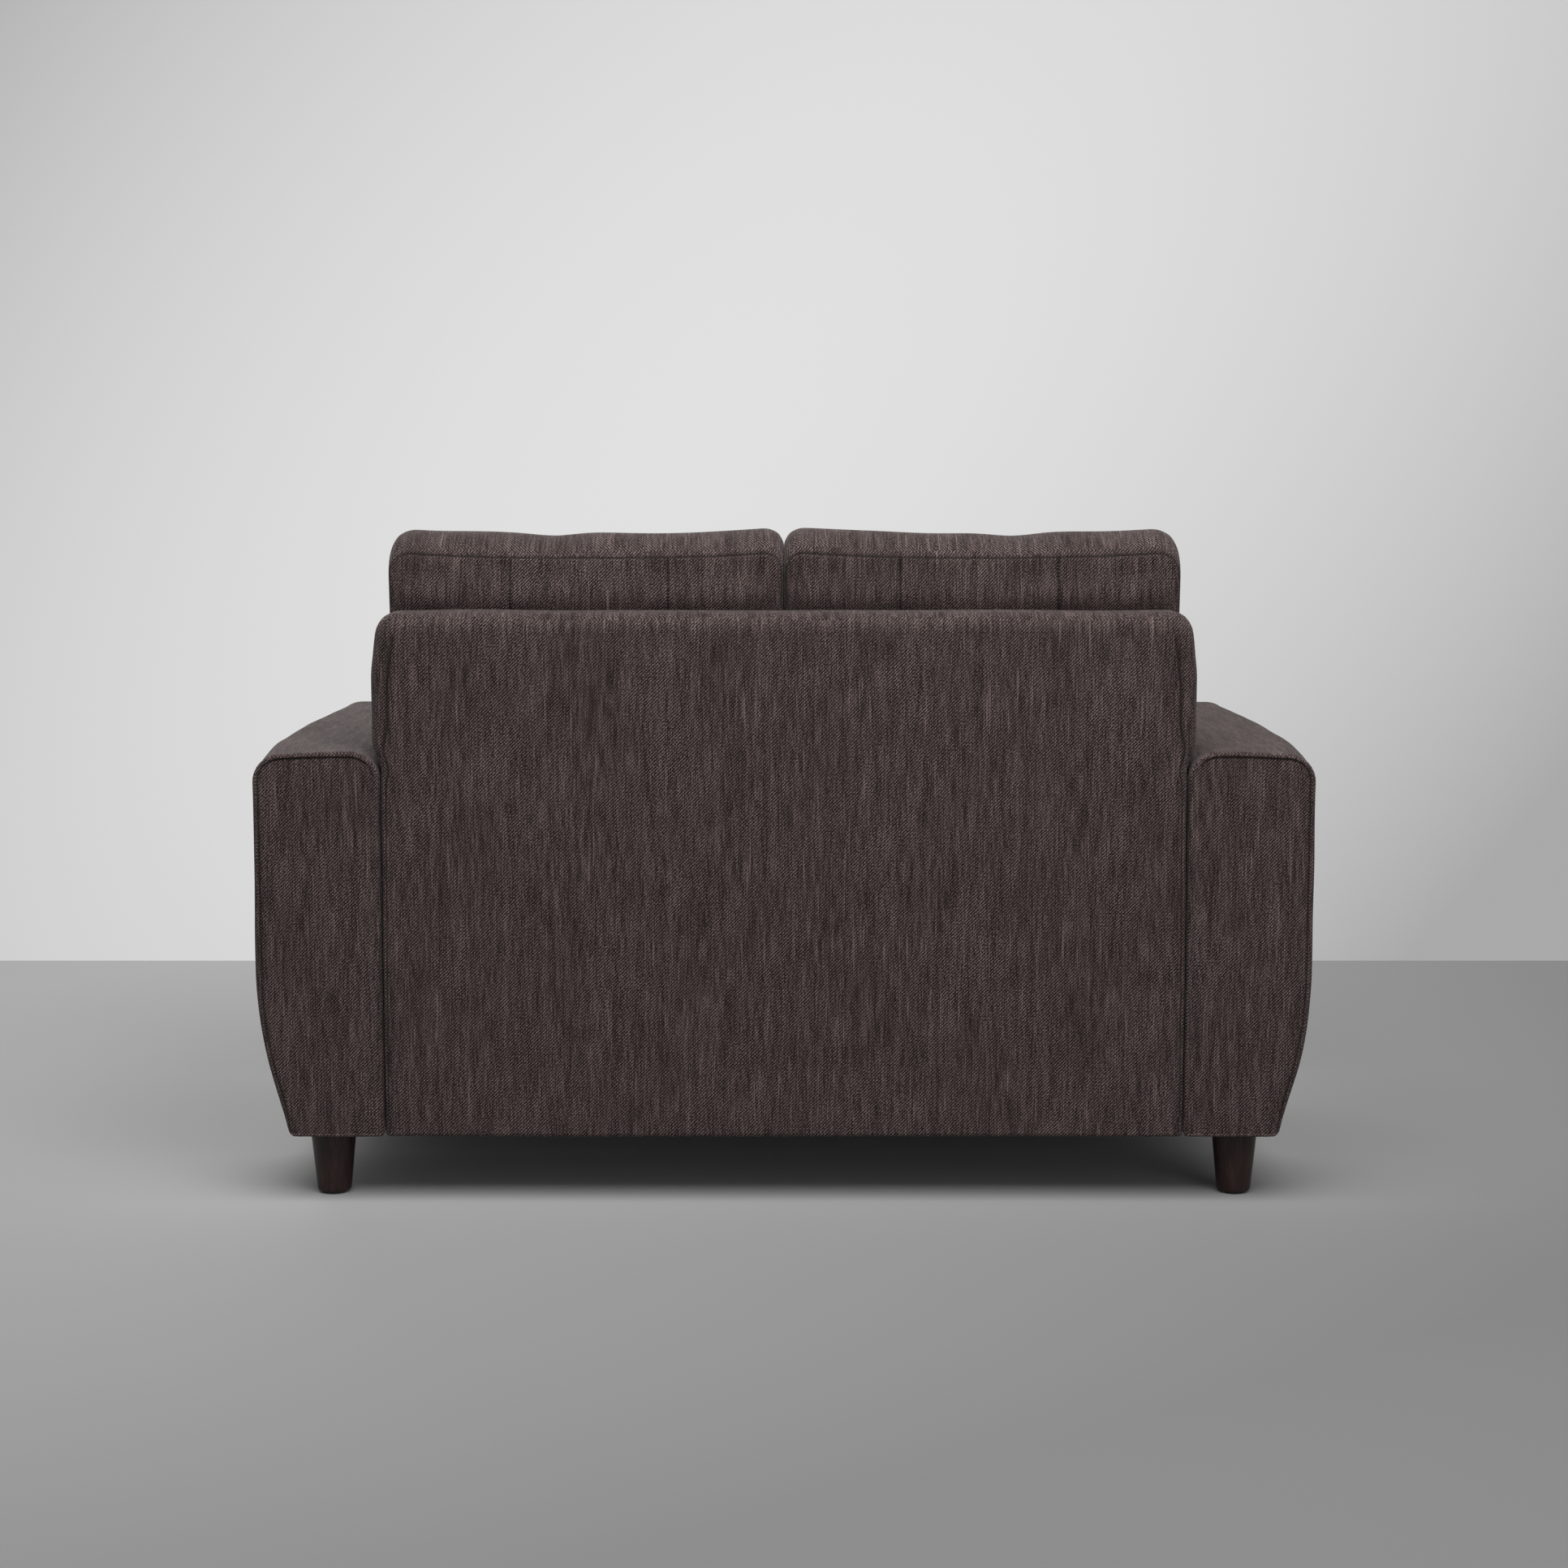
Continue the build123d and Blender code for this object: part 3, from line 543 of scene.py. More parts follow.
def skin_piece(name, points, quads, crease, body, nodes, fill, levels=0):
    """A closed skin of cloth as an object, with its map, its finish and its body. Its fill is not used."""
    quads = faces_out(points, quads)
    mesh = bpy.data.meshes.new(name)
    mesh.from_pydata(points.tolist(), [], quads.tolist())
    mesh.update()
    layer = mesh.uv_layers.new(name="cloth")
    layer.data.foreach_set("uv", cloth_map(points, quads).astype(np.float32).ravel())
    # the seam marks are kept on the skin for the cloth's painted shade
    mark = mesh.attributes.new("crease", "FLOAT", "POINT")
    mark.data.foreach_set("value", crease.astype(np.float32))
    mesh.polygons.foreach_set("use_smooth", np.ones(len(quads), dtype=bool))
    mesh.materials.append(upholstery)
    piece = bpy.data.objects.new(name, mesh)
    bpy.context.scene.collection.objects.link(piece)
    if levels:
        finer = piece.modifiers.new("finer", "SUBSURF")
        finer.levels = levels
        finer.render_levels = levels
    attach(piece, body)
    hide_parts(*nodes)
    print(name, len(quads), "quads")


print("skin helpers ready")

# %% [markdown]
# ## Main sizes
# The skins have to fit the solids inside, so they share their main lengths: where the arms and the back
# stand, how the deck slopes, and how the inside of the back leans. All are in metres from the floor and from
# the middle of the sofa, and each shape below is built on them, so that they are given only once.
# %% Main sizes
arm_inner, arm_outer, arm_front, arm_top = 0.5685, 0.749, -0.395, 0.646
rear_plane, back_top, foot_level = 0.415, 0.841, 0.094
inside_foot, back_taper = 0.230, 0.080
deck_front, deck_high, deck_run, deck_slope = -0.385, 0.300, 0.615, radians(3)
deck_rear = deck_high - deck_run * tan(deck_slope)
lean = atan2(back_taper, back_top - deck_rear)
print("the back leans", round(degrees(lean), 1), "degrees")

# %% [markdown]
# ## The tall back
# One panel covers the whole outside. It rolls over at the top, and a seam on each side joins it to a narrow
# strip. Between the arms the back is held narrow, and above them it swells. A cube with bevels could stand
# for it, but its edges would all be alike. The grid's first axis runs across, the second up, and the third
# from the inside of the back to the outside.
# %% The back's form
# A draw is how far the side moves in, and the heights between which it does so.
back_rim_start, back_step = 0.7, 0.010
waist, wider_above_arms = 0.5676, 0.0139
widening = (arm_top - 0.028, arm_top + 0.016)
top_draws = ((0.004, 0.75, 0.80), (0.005, 0.79, 0.84))
rim_heights = (0.094, 0.60, 0.64, 0.70)
rim_sizes = (0.0035, 0.0075, 0.0155, 0.026)
foot_band, foot_rim = 0.02, 0.006
top_corner, foot_corner = 0.027, 0.006


def back_half_width(height):
    """Half the back's width: the waist between the arms, a smooth step out above them, and two small steps
    in towards the top."""
    drawn = sum(depth * step_up(height, start, end) for depth, start, end in top_draws)
    return waist + wider_above_arms * step_up(height, *widening) - drawn


def back_form(p, q, r):
    """Points of the back: a rounded rectangle whose rim is a quarter circle at each end of the third axis,
    between the leaning inside plane and the upright outside plane."""
    height = foot_level + (q + 1) / 2 * (back_top - foot_level)
    half_width = back_half_width(height)
    rim_radius = np.interp(height, rim_heights, rim_sizes)
    rim_radius = np.where(height < foot_level + foot_band, foot_rim, rim_radius)
    turn = np.clip((np.abs(r) - back_rim_start) / (1 - back_rim_start), 0, 1) * pi / 2
    inset = rim_radius * (1 - np.cos(turn))
    corner_radius = np.where(q > 0, top_corner, foot_corner)
    x, z = rounded(p, q, (-half_width, foot_level), (half_width, back_top), corner_radius, inset)
    front_plane = inside_foot + np.maximum(z - deck_rear, 0) * tan(lean)
    share = (np.clip(r / back_rim_start, -1, 1) + 1) / 2
    y = front_plane + rim_radius + share * (rear_plane - front_plane - 2 * rim_radius)
    y = y + np.sign(r) * rim_radius * np.sin(turn)
    return np.stack([x, y, z], axis=1), height, half_width


rim = np.linspace(back_rim_start, 1, 8)
through = np.unique(np.concatenate([-rim, np.linspace(-back_rim_start, back_rim_start, 11), rim]))
corners, quads = block_grid([edge_lines(back_step, 1.14), edge_lines(back_step, 0.75), through])
p, q, r = corners.T
points, height, half_width = back_form(p, q, r)
quads = faces_out(points, quads)
print("back", len(points), "points")

# %% [markdown]
# The seams of the back are sewn from the inside, so each lies in a shallow hollow, with a fainter line of
# pulled cloth beside it, and painted shade darkens the seam and the pulled line. Where the back meets the
# arms, painted shade darkens the joint too. A texture could paint these lines, but here they follow the grid
# and stay sharp from any distance.
# %% The back's seams
seam_hollow, seam_depth, seam_top = 0.0018, 0.0010, 0.98
pulled_line, pulled_line_painted_shade, pulled_top = 0.0055, 0.3, 0.62
joint_reach, joint_painted_shade, joint_start, joint_top = 0.003, 0.95, 0.55, arm_top - 0.03
back_unevenness = 0.0009

seam_gap = (1 - np.abs(p)) * half_width
on_panel = np.abs(r) > on_end
on_seam = on_panel & (q < seam_top)
# painted shade along the seams, the pulled lines and the joint beside the arms
crease = np.where(on_seam, seam_mark(seam_gap), 0.0)
pulled = on_panel & (np.abs(seam_gap - pulled_line) < 1e-4) & (height < pulled_top)
crease = np.maximum(crease, np.where(pulled, pulled_line_painted_shade, 0.0))
side_place = np.abs(points[:, 0])
reach = np.clip(1 - (half_width - side_place) / joint_reach, 0, 1)
beside_arm = (r > back_rim_start - 0.01) & (side_place > joint_start) & (height < joint_top)
crease = np.maximum(crease, np.where(beside_arm, joint_painted_shade * reach, 0))
shift = np.where(on_seam, groove(seam_gap, seam_hollow, seam_depth), 0)
loose = back_unevenness * ripple(points, size=0.18, seed=3)
points += normals_of(points, quads) * (shift + loose)[:, None]
points[:, 1] = np.minimum(points[:, 1], rear_plane)
skin_piece("back_upholstery", points, quads, crease, "sofa_frame", ["back_cover", "back_wadding"], 0.95)

# %% [markdown]
# ## The arms
# An arm is a long padded box. Its top corners are round, its outer side bends in towards the foot, and at
# each end a flat facing is set in with a seam about nine millimetres from the edge. It could be one block cut
# with bevels, but the bend and the changing roundness of the crown ask for a form made of numbers.
# %% The arms' form
# A zone is the two places between which an effect rises from nothing to all.
arm_rim_start = 0.96
bend_start, bend_end, foot_taper = 0.236, 0.081, radians(16)
bend_drop = bend_start - bend_end
rim_places = (-1, -0.97, -0.9, 0.8, 1)
arm_rims = (0.004, 0.004, 0.009, 0.009, 0.0075)
shoulder_radius, rear_rounding, front_rounding = 0.024, 0.016, 0.020
rear_zone, front_zone = (0.22, 0.40), (0.02, 0.38)
crown_radius, crown_rounding, crown_zone = 0.030, 0.014, (0.20, 0.40)
arm_foot_corner = 0.010
crown_drop, drop_across, drop_up, drop_back = 0.004, (0.35, 1.0), (0.50, arm_top), (0.34, 0.41)


def outer_side(level):
    """Distance of the arm's outer side from the middle of the sofa at a height: upright, then an arc, then a
    straight taper of sixteen degrees."""
    radius = bend_drop / sin(foot_taper)
    drop = np.clip(foot_level + bend_start - level, 0, bend_drop)
    on_arc = radius - np.sqrt(radius**2 - drop**2)
    return arm_outer - on_arc - np.maximum(foot_level + bend_end - level, 0) * tan(foot_taper)


def arm_form(p, q, r):
    """Points of the right arm: a rounded rectangle carried from front to rear with a quarter-circle rim at
    each end. Its shoulders grow rounder towards the ends, and its outer side follows the bend."""
    turn = np.clip((np.abs(r) - arm_rim_start) / (1 - arm_rim_start), 0, 1) * pi / 2
    rim_radius = np.interp(q, rim_places, arm_rims)
    half_run = (rear_plane - arm_front) / 2
    along = np.clip(np.abs(r) / arm_rim_start, 0, 1)
    reach = (half_run - rim_radius) * along + rim_radius * np.sin(turn)
    y = (rear_plane + arm_front) / 2 + np.sign(r) * reach
    shoulder = shoulder_radius + rear_rounding * step_up(y, *rear_zone)
    shoulder = shoulder + front_rounding * step_up(-y, *front_zone)
    inner_crown = crown_radius + crown_rounding * step_up(y, *crown_zone)
    radius = np.where(q > 0, np.where(p > 0, shoulder, inner_crown), arm_foot_corner)
    inset = rim_radius * (1 - np.cos(turn))
    x, z = rounded(p, q, (arm_inner, foot_level), (arm_outer, arm_top), radius, inset)
    share = np.clip((x - arm_inner) / (arm_outer - arm_inner), 0, 1)
    drop = crown_drop * step_up(share, *drop_across) * step_up(z, *drop_up) * step_up(y, *drop_back)
    z = z - drop
    x = x - share * (arm_outer - outer_side(z))
    return np.stack([x, y, z], axis=1)


print("arm side at the foot", round(float(outer_side(foot_level)), 3), "m")

# %% [markdown]
# Each facing swells a little in its middle and is sewn in along its top and its outer edge. The left arm is
# the right one mirrored, with an unevenness of its own, because two sewn arms never match exactly.
# %% The arms' seams
arm_half_width, arm_half_height = 0.09, 0.276
facing_swell, swell_reach = 0.0022, 0.02
facing_hollow, facing_depth, facing_foot = 0.0018, 0.0008, -0.97
back_joint_reach, back_joint_painted_shade, back_joint_rise = 0.004, 0.95, 0.12
back_joint_side, back_joint_top = 0.58, 0.625
arm_unevenness = 0.0008
clear_of_back = 0.0003


def arm_skin(side):
    """The skin of one arm and its creases. The side is 1 for the right arm and -1 for the mirrored left."""
    rim = np.linspace(arm_rim_start, 1, 7)
    through = np.concatenate([-rim, np.linspace(-arm_rim_start, arm_rim_start, 64), rim])
    through = np.unique(np.round(through, 7))
    corners, quads = block_grid([edge_lines(0.008, 0.18), edge_lines(0.010, 0.55), through])
    p, q, r = corners.T
    points = arm_form(p, q, r)
    x, z = points[:, 0], points[:, 2]
    quads = faces_out(points, quads)
    on_facing = np.abs(r) > on_end
    edge = np.minimum((1 - np.abs(p)) * arm_half_width, (1 - np.abs(q)) * arm_half_height)
    swell = np.sign(r) * facing_swell * np.exp(-edge / swell_reach)
    points[:, 1] -= np.where(on_facing, swell, 0)
    seam_gap = np.minimum((1 - p) * arm_half_width, (1 - q) * arm_half_height)
    # painted shade along the facings' seams and in the joint beside the back
    crease = np.where(on_facing & (q > -on_end), seam_mark(seam_gap), 0.0)
    joint = np.clip(1 - (x - arm_inner) / back_joint_reach, 0, 1) * step_up(z, foot_level, back_joint_rise)
    beside_back = (r > arm_rim_start - 0.005) & (x < back_joint_side) & (z < back_joint_top)
    crease = np.maximum(crease, np.where(beside_back, back_joint_painted_shade * joint, 0))
    shift = np.where(on_facing & (q > facing_foot), groove(seam_gap, facing_hollow, facing_depth), 0)
    loose = arm_unevenness * ripple(points, size=0.15, seed=11 + side)
    points += normals_of(points, quads) * (shift + loose)[:, None]
    points[:, 0] = np.maximum(points[:, 0], arm_inner + clear_of_back)
    points[:, 0] *= side
    return points, quads, crease


for side, word in ((1, "right"), (-1, "left")):
    points, quads, crease = arm_skin(side)
    nodes = [f"{word}_arm_cover", f"{word}_arm_foam", f"{word}_arm_front_facing", f"{word}_arm_rear_facing"]
    skin_piece(f"{word}_arm_upholstery", points, quads, crease, "sofa_frame", nodes, 0.9)

# %% [markdown]
# ## Seat deck and front border
# Between the arms one cloth covers the deck under the cushions and turns down over the front border. Two
# separate panels could be made, but the real cloth has no seam at the front edge, so the grid runs round it.
# %% Deck and border
deck_half_width = 0.5682
front_rim_start = 0.93
upper_rim, lower_rim = 0.016, 0.004
border_bulge, deck_unevenness = 0.004, 0.0006

front_rim = np.linspace(-1, -front_rim_start, 8)
through = np.unique(np.round(np.concatenate([front_rim, np.linspace(-front_rim_start, 1, 30)]), 7))
corners, quads = block_grid([edge_lines(0.02, 1.137), edge_lines(0.010, 0.2), through])
p, q, r = corners.T
turn = np.clip((-r - front_rim_start) / (1 - front_rim_start), 0, 1) * pi / 2
rim_radius = np.where(q > 0, upper_rim, lower_rim)
inset = rim_radius * (1 - np.cos(turn))
run = np.clip((r + front_rim_start) / (1 + front_rim_start), 0, 1)
y = deck_front + rim_radius * (1 - np.sin(turn)) + run * (deck_run - rim_radius)
top = deck_high - (y - deck_front) * tan(deck_slope)
z = foot_level + inset + (q + 1) / 2 * (top - inset * 2 - foot_level)
y = y - np.where(r < -on_end, border_bulge * (1 - q**2), 0)
points = np.stack([p * deck_half_width, y, z], axis=1)
quads = faces_out(points, quads)
loose = np.where(np.abs(p) < on_end, deck_unevenness, 0) * ripple(points, size=0.15, seed=21)
points += normals_of(points, quads) * loose[:, None]
skin_piece("deck_upholstery", points, quads, np.zeros(len(points)), "sofa_frame",
           ["seat_cover", "front_border_foam", "deck_pad"], 0.9)

# %% [markdown]
# ## Puffing up the loose cushions
# A real cushion gets its shape from cloth that is held at its seams and pushed out from inside. A formula
# alone looks too regular, so Blender's Cloth does the last few millimetres: the seams are pinned, a little
# pressure fills the rest, and the movement is capped so that the cushion still fits its place.
# %% Cloth simulation


def puffed(name, points, quads, pinned, cap, pressure=4.0, stiffness=20, frames=20):
    """Points of a skin after some frames of inner pressure with the pinned ones held. Each point moves by
    less than the cap: by cap times the tanh of its movement over the cap."""
    mesh = bpy.data.meshes.new(name)
    mesh.from_pydata(points.tolist(), [], quads.tolist())
    trial = bpy.data.objects.new(name, mesh)
    bpy.context.scene.collection.objects.link(trial)
    group = trial.vertex_groups.new(name="held")
    group.add(np.flatnonzero(pinned).tolist(), 1.0, "REPLACE")
    cloth = trial.modifiers.new("cloth", "CLOTH")
    cloth.settings.quality = 4
    cloth.settings.use_pressure = True
    cloth.settings.uniform_pressure_force = pressure
    cloth.settings.tension_stiffness = stiffness
    cloth.settings.compression_stiffness = stiffness
    cloth.settings.vertex_group_mass = "held"
    cloth.settings.effector_weights.gravity = 0
    cloth.point_cache.frame_start = 1
    cloth.point_cache.frame_end = frames
    scene = bpy.context.scene
    for number in range(1, frames + 1):
        scene.frame_set(number)
    ready = trial.evaluated_get(bpy.context.evaluated_depsgraph_get()).data
    moved = np.empty(len(points) * 3)
    ready.vertices.foreach_get("co", moved)
    move = moved.reshape(-1, 3) - points
    length = np.linalg.norm(move, axis=1, keepdims=True)
    print(name, "largest movement", round(float(length.max()) * 1000, 1), "mm")
    scene.frame_set(1)
    bpy.data.objects.remove(trial)
    bpy.data.meshes.remove(mesh)
    share = np.where(length > 1e-9, cap * np.tanh(length / cap) / np.maximum(length, 1e-9), 0)
    return points + move * share


print("cloth simulation", "ready")

# %% [markdown]
# ## Back cushions
# Each is two panels and a strip that runs round between them. Two upright channels are sewn into each panel,
# the strip swells between its two seams, most of all along the top, and the corners stand up like small ears.
# A puffed box alone would lose those ears and channels, so they are in the form that the cloth starts from.
# %% The back cushions' form
cushion_wide, cushion_tall, strip_rise, panel_gap = 0.5655, 0.5401, 0.026, 0.1197
channel_shares = np.array([0.29, 0.69])
channels = 2 * channel_shares - 1
near_seam = np.array([0.0, 0.03, 0.07])
strip_lines = np.unique(np.concatenate([near_seam - 1, np.linspace(-0.86, 0.86, 15), 1 - near_seam]))
cushion_step, off_back = 0.0065, 0.0083
# Zones are grid numbers here, from -1 at the foot to 1 at the top.
outer_corner, inner_corner, base_corner, crest_corner = 0.038, 0.030, 0.020, 0.003
inner_edge, crest_inner, crest_lower = 0.0015, -0.0020, 0.0020
draw_in, draw_zone, crest_draw = 0.004, (0.0, 0.7), 1.6
top_swell, top_swell_zone = 0.0035, (0.62, 0.92)
ear_rise, ear_fall, ear_zone = 0.009, 0.002, (0.55, 1.0)
dip_depth, dip_place, dip_spread, dip_zone = 0.005, 0.58, 0.07, (0.9, 1.0)
border_reach, rib_power = 0.030, 0.7
rear_full, rear_rib, front_full, front_rib, end_loss = 0.0025, 0.005, 0.007, 0.018, 0.25
ridge_fill, ridge_place, ridge_spread = 0.0150, 0.456, 0.028


def ribs(share):
    """Fullness across a channelled panel: half a sine wave, to a power, from each sewn line to the next."""
    marks = np.array([0.0, *channel_shares, 1.0])
    index = np.clip(np.searchsorted(marks, share, side="right") - 1, 0, 2)
    local = (share - marks[index]) / (marks[index + 1] - marks[index])
    return np.sin(np.clip(local, 0, 1) * pi) ** rib_power


def back_cushion_outline(p, q, r):
    """Where a back cushion's grid lies, seen from the front: the panel's outline at the seams and the
    swollen crest's between them, with ears at the top corners and one soft dip in the top strip."""
    drawn = draw_in * (1 - step_up(q, *draw_zone))
    swollen = top_swell * step_up(q, *top_swell_zone)
    corner = np.where(q > 0, np.where(p > 0, outer_corner, inner_corner), base_corner)
    panel = ((inner_edge, 0), (cushion_wide - drawn, cushion_tall - strip_rise), corner)
    crest_high = (cushion_wide - drawn * crest_draw + swollen, cushion_tall - crest_lower)
    x, z = boxed(p, q, r, panel, ((crest_inner, 0), crest_high, corner + crest_corner))
    z = z + (ear_rise * np.abs(p) ** 3 - ear_fall) * step_up(q, *ear_zone)
    dip = dip_depth * np.exp(-((((1 + p) / 2 - dip_place) / dip_spread) ** 2))
    return x, z - (1 - r**2) * step_up(q, *dip_zone) * dip


def back_cushion_form():
    """A back cushion in its own frame: x across, y out of the back and z up along it. Each panel rises by one
    minus e to the minus distance from its border, times its ribs, and the rear one fills out over the top of
    the back. Gives its points and quads, its seam marks, which also set the painted shade in its seams and
    channels, and which points are at its base."""
    panel_top = cushion_tall - strip_rise
    rows = edge_lines(cushion_step, cushion_wide, *channels)
    corners, quads = block_grid([rows, edge_lines(cushion_step, panel_top), strip_lines])
    p, q, r = corners.T
    x, z = back_cushion_outline(p, q, r)
    on_panel = np.abs(r) > on_end
    edge = np.minimum((1 - np.abs(p)) * cushion_wide / 2, (1 - np.abs(q)) * panel_top / 2)
    full = 1 - np.exp(-edge / border_reach)
    rib = ribs((1 + p) / 2)
    over_back = ridge_fill * np.exp(-(((z - ridge_place) / ridge_spread) ** 2)) * full
    rear_rise = full * (rear_full + rear_rib * rib) + over_back
    front_rise = full * (front_full + front_rib * rib) * (1 - end_loss * q**2)
    y = -off_back - panel_gap / 2 * (1 - r)
    y = y + np.where(on_panel, np.where(r > 0, rear_rise, -front_rise), 0)
    channel = np.min(np.abs(p[:, None] - channels), axis=1) * cushion_wide / 2
    on_strip = seam_mark((1 - np.abs(r)) * panel_gap / 2)
    # marks of the seams and channels, which also set their painted shade
    crease = np.where(on_panel, seam_mark(np.minimum(edge, channel)), on_strip)
    points = np.stack([x, y, z], axis=1)
    return points, faces_out(points, quads), crease, q < -on_end


print("channels", np.round(channel_shares * cushion_wide, 3), "m from the inner edge")

# %% [markdown]
# The puffed cushion leans on the back, which is flat at first and rounds off at its top. No part of it may
# sink into the back or reach over the middle of the sofa, so its points are held clear of both. The left and
# the right one start from the same form and get an unevenness of their own.
# %% Back cushions in place
back_up = np.array([0, sin(lean), cos(lean)])
back_out = np.array([0, cos(lean), -sin(lean)])
cushion_foot = np.array([0, 0.2492495, 0.4056993])
back_limit, ridge_radius = 0.4135, 0.026
middle_gap, crest_touch, side_limit = 0.001, -0.00099, 0.30
clear_of_arc, anywhere = 0.0003, 1.0
fine_loose, wide_loose, seam_sink = 0.0011, 0.0014, 0.0022


def off_the_back(points):
    """How far out a point may lie, so that the cushion clears the back: its flat inside face, then the arc
    of its rounded top edge, and nothing above it."""
    over = np.clip(points[:, 2] - back_limit, 0, ridge_radius)
    arc = ridge_radius - np.sqrt(ridge_radius**2 - over**2)
    return np.where(points[:, 2] > back_limit + ridge_radius, anywhere, arc - clear_of_arc)


def dressed_back_cushion(form, side, seed):
    """The form with its own small unevenness and its sewn hollows, carried to its place on one side."""
    points, quads, crease = form
    loose = fine_loose * ripple(points, 0.10, seed) + wide_loose * ripple(points, 0.27, seed + 7)
    points = points + normals_of(points, quads) * (loose - seam_sink * crease)[:, None]
    points[:, 1] = np.minimum(points[:, 1], off_the_back(points))
    points[:, 2] = np.maximum(points[:, 2], 0)
    widest = np.where(points[:, 2] > side_limit, anywhere, cushion_wide)
    points[:, 0] = np.clip(points[:, 0], crest_touch, widest)
    place = cushion_foot + points[:, 1:2] * back_out + points[:, 2:3] * back_up
    place[:, 0] = (middle_gap + points[:, 0]) * side
    return place, quads, crease


points, quads, crease, base = back_cushion_form()
points = puffed("back_cushion", points, quads, (crease > 0.95) | base, 0.007)
for side, word, seed in ((1, "right", 31), (-1, "left", 47)):
    placed = dressed_back_cushion((points, quads, crease), side, seed)
    nodes = [f"{word}_back_cushion_cover", f"{word}_back_cushion_foam"]
    skin_piece(f"{word}_back_cushion_upholstery", *placed, f"{word}_back_cushion", nodes, 0.8, levels=1)

# %% [markdown]
# ## Seat cushions
# A seat cushion is a thick boxed one that lies on the sloping deck. Its top is crowned, its front strip
# swells forward, its sides draw in, and its rear part is pressed flat where the back cushion stands on it. It
# is made as the back cushions are, because it is sewn the same way.
# %% The seat cushions' form
flat_start, seat_thick, seat_low, seat_high = 0.4943, 0.150, -0.018, 0.6152
seat_step, seat_draw = 0.008, 0.0035
seat_front_corner, seat_rear_corner, seat_crest_corner, seat_front_swell = 0.038, 0.028, 0.004, 0.016
seat_crown, crown_reach, crown_end = 0.024, 0.045, (flat_start - 0.17, flat_start - 0.015)
held_before_flat = 0.03


def seat_cushion_form():
    """A seat cushion in the deck's frame: x across, y back along the deck and z up from it. Its top rises by
    a crown that ends where the back cushion stands. Gives its points and quads, its seam marks, which also
    set the painted shade of its seams, and which points stay put."""
    seat_deep = seat_high - seat_low
    columns = edge_lines(seat_step, seat_deep)
    corners, quads = block_grid([edge_lines(seat_step, cushion_wide), columns, strip_lines])
    p, q, r = corners.T
    drawn = seat_draw * (1 - q**2)
    corner = np.where(q < 0, seat_front_corner, seat_rear_corner)
    panel = ((drawn, seat_low), (cushion_wide - drawn, seat_high), corner)
    crest_low = (drawn * 2, seat_low - seat_front_swell)
    crest = (crest_low, (cushion_wide - drawn * 2, seat_high), corner + seat_crest_corner)
    x, y = boxed(p, q, r, panel, crest)
    edge = np.minimum((1 - np.abs(p)) * cushion_wide / 2, (1 - np.abs(q)) * seat_deep / 2)
    on_panel = np.abs(r) > on_end
    full = 1 - np.exp(-edge / crown_reach)
    crown = seat_crown * full * (1 - step_up(y, *crown_end))
    z = seat_thick / 2 * (1 + r) + np.where(on_panel & (r > 0), crown, 0)
    z = z - np.maximum(y - flat_start, 0) * tan(lean - deck_slope) * (1 + r) / 2
    # seam marks, which also set the painted shade of the seams
    crease = np.where(on_panel, seam_mark(edge), seam_mark((1 - np.abs(r)) * seat_thick / 2))
    points = np.stack([x, y, z], axis=1)
    held = (r < -on_end) | (q > on_end) | ((r > 0) & (y > flat_start - held_before_flat))
    return points, faces_out(points, quads), crease, held


print("seat cushion", round(seat_high - seat_low, 3), "m deep")

# %% [markdown]
# The seat cushions are puffed once and then carried to their places on the deck. The parts that lie on the
# deck, stand at the back or carry the back cushion stay as they are, because their neighbours touch them.
# %% Seat cushions in place
deck_up = np.array([0, sin(deck_slope), cos(deck_slope)])
deck_back = np.array([0, cos(deck_slope), -sin(deck_slope)])
deck_start = np.array([0, deck_front, deck_high])
clear_of_deck = 0.0003


def dressed_seat_cushion(form, side, seed):
    """The form with its own small unevenness and its sewn hollows, carried to its place on one side."""
    points, quads, crease, held = form
    loose = fine_loose * ripple(points, 0.12, seed) + wide_loose * ripple(points, 0.28, seed + 5)
    loose = np.where(held, 0, loose)
    points = points + normals_of(points, quads) * (loose - seam_sink * crease)[:, None]
    points[:, 2] = np.maximum(points[:, 2], clear_of_deck)
    points[:, 1] = np.minimum(points[:, 1], seat_high)
    points[:, 0] = np.clip(points[:, 0], 0, cushion_wide)
    place = deck_start + points[:, 1:2] * deck_back + points[:, 2:3] * deck_up
    place[:, 0] = (middle_gap + points[:, 0]) * side
    return place, quads, crease


points, quads, crease, held = seat_cushion_form()
points = puffed("seat_cushion", points, quads, (crease > 0.95) | held, 0.008)
for side, word, seed in ((1, "right", 63), (-1, "left", 79)):
    placed = dressed_seat_cushion((points, quads, crease, held), side, seed)
    nodes = [f"{word}_seat_cushion_cover", f"{word}_seat_cushion_foam"]
    skin_piece(f"{word}_seat_cushion_upholstery", *placed, f"{word}_seat_cushion", nodes, 0.85, levels=1)

# %% [markdown]
# ## Leg wood
# The legs are hardwood, stained dark and lacquered to a low shine. The grain runs up the leg, so noise is
# stretched along the height, and finer pores lie in it. An even brown would look like plastic up close.
# %% Leg wood
grain_scale = (260.0, 260.0, 9.0)
pore_scale = (900.0, 900.0, 30.0)
dark_grain = (0.0055, 0.0020, 0.0016)
stained_grain = (0.0170, 0.0068, 0.0058)
light_grain = (0.048, 0.021, 0.017)
grain_share, pore_share = 0.8, 0.3
smoothest, roughness_range = 0.34, 0.22


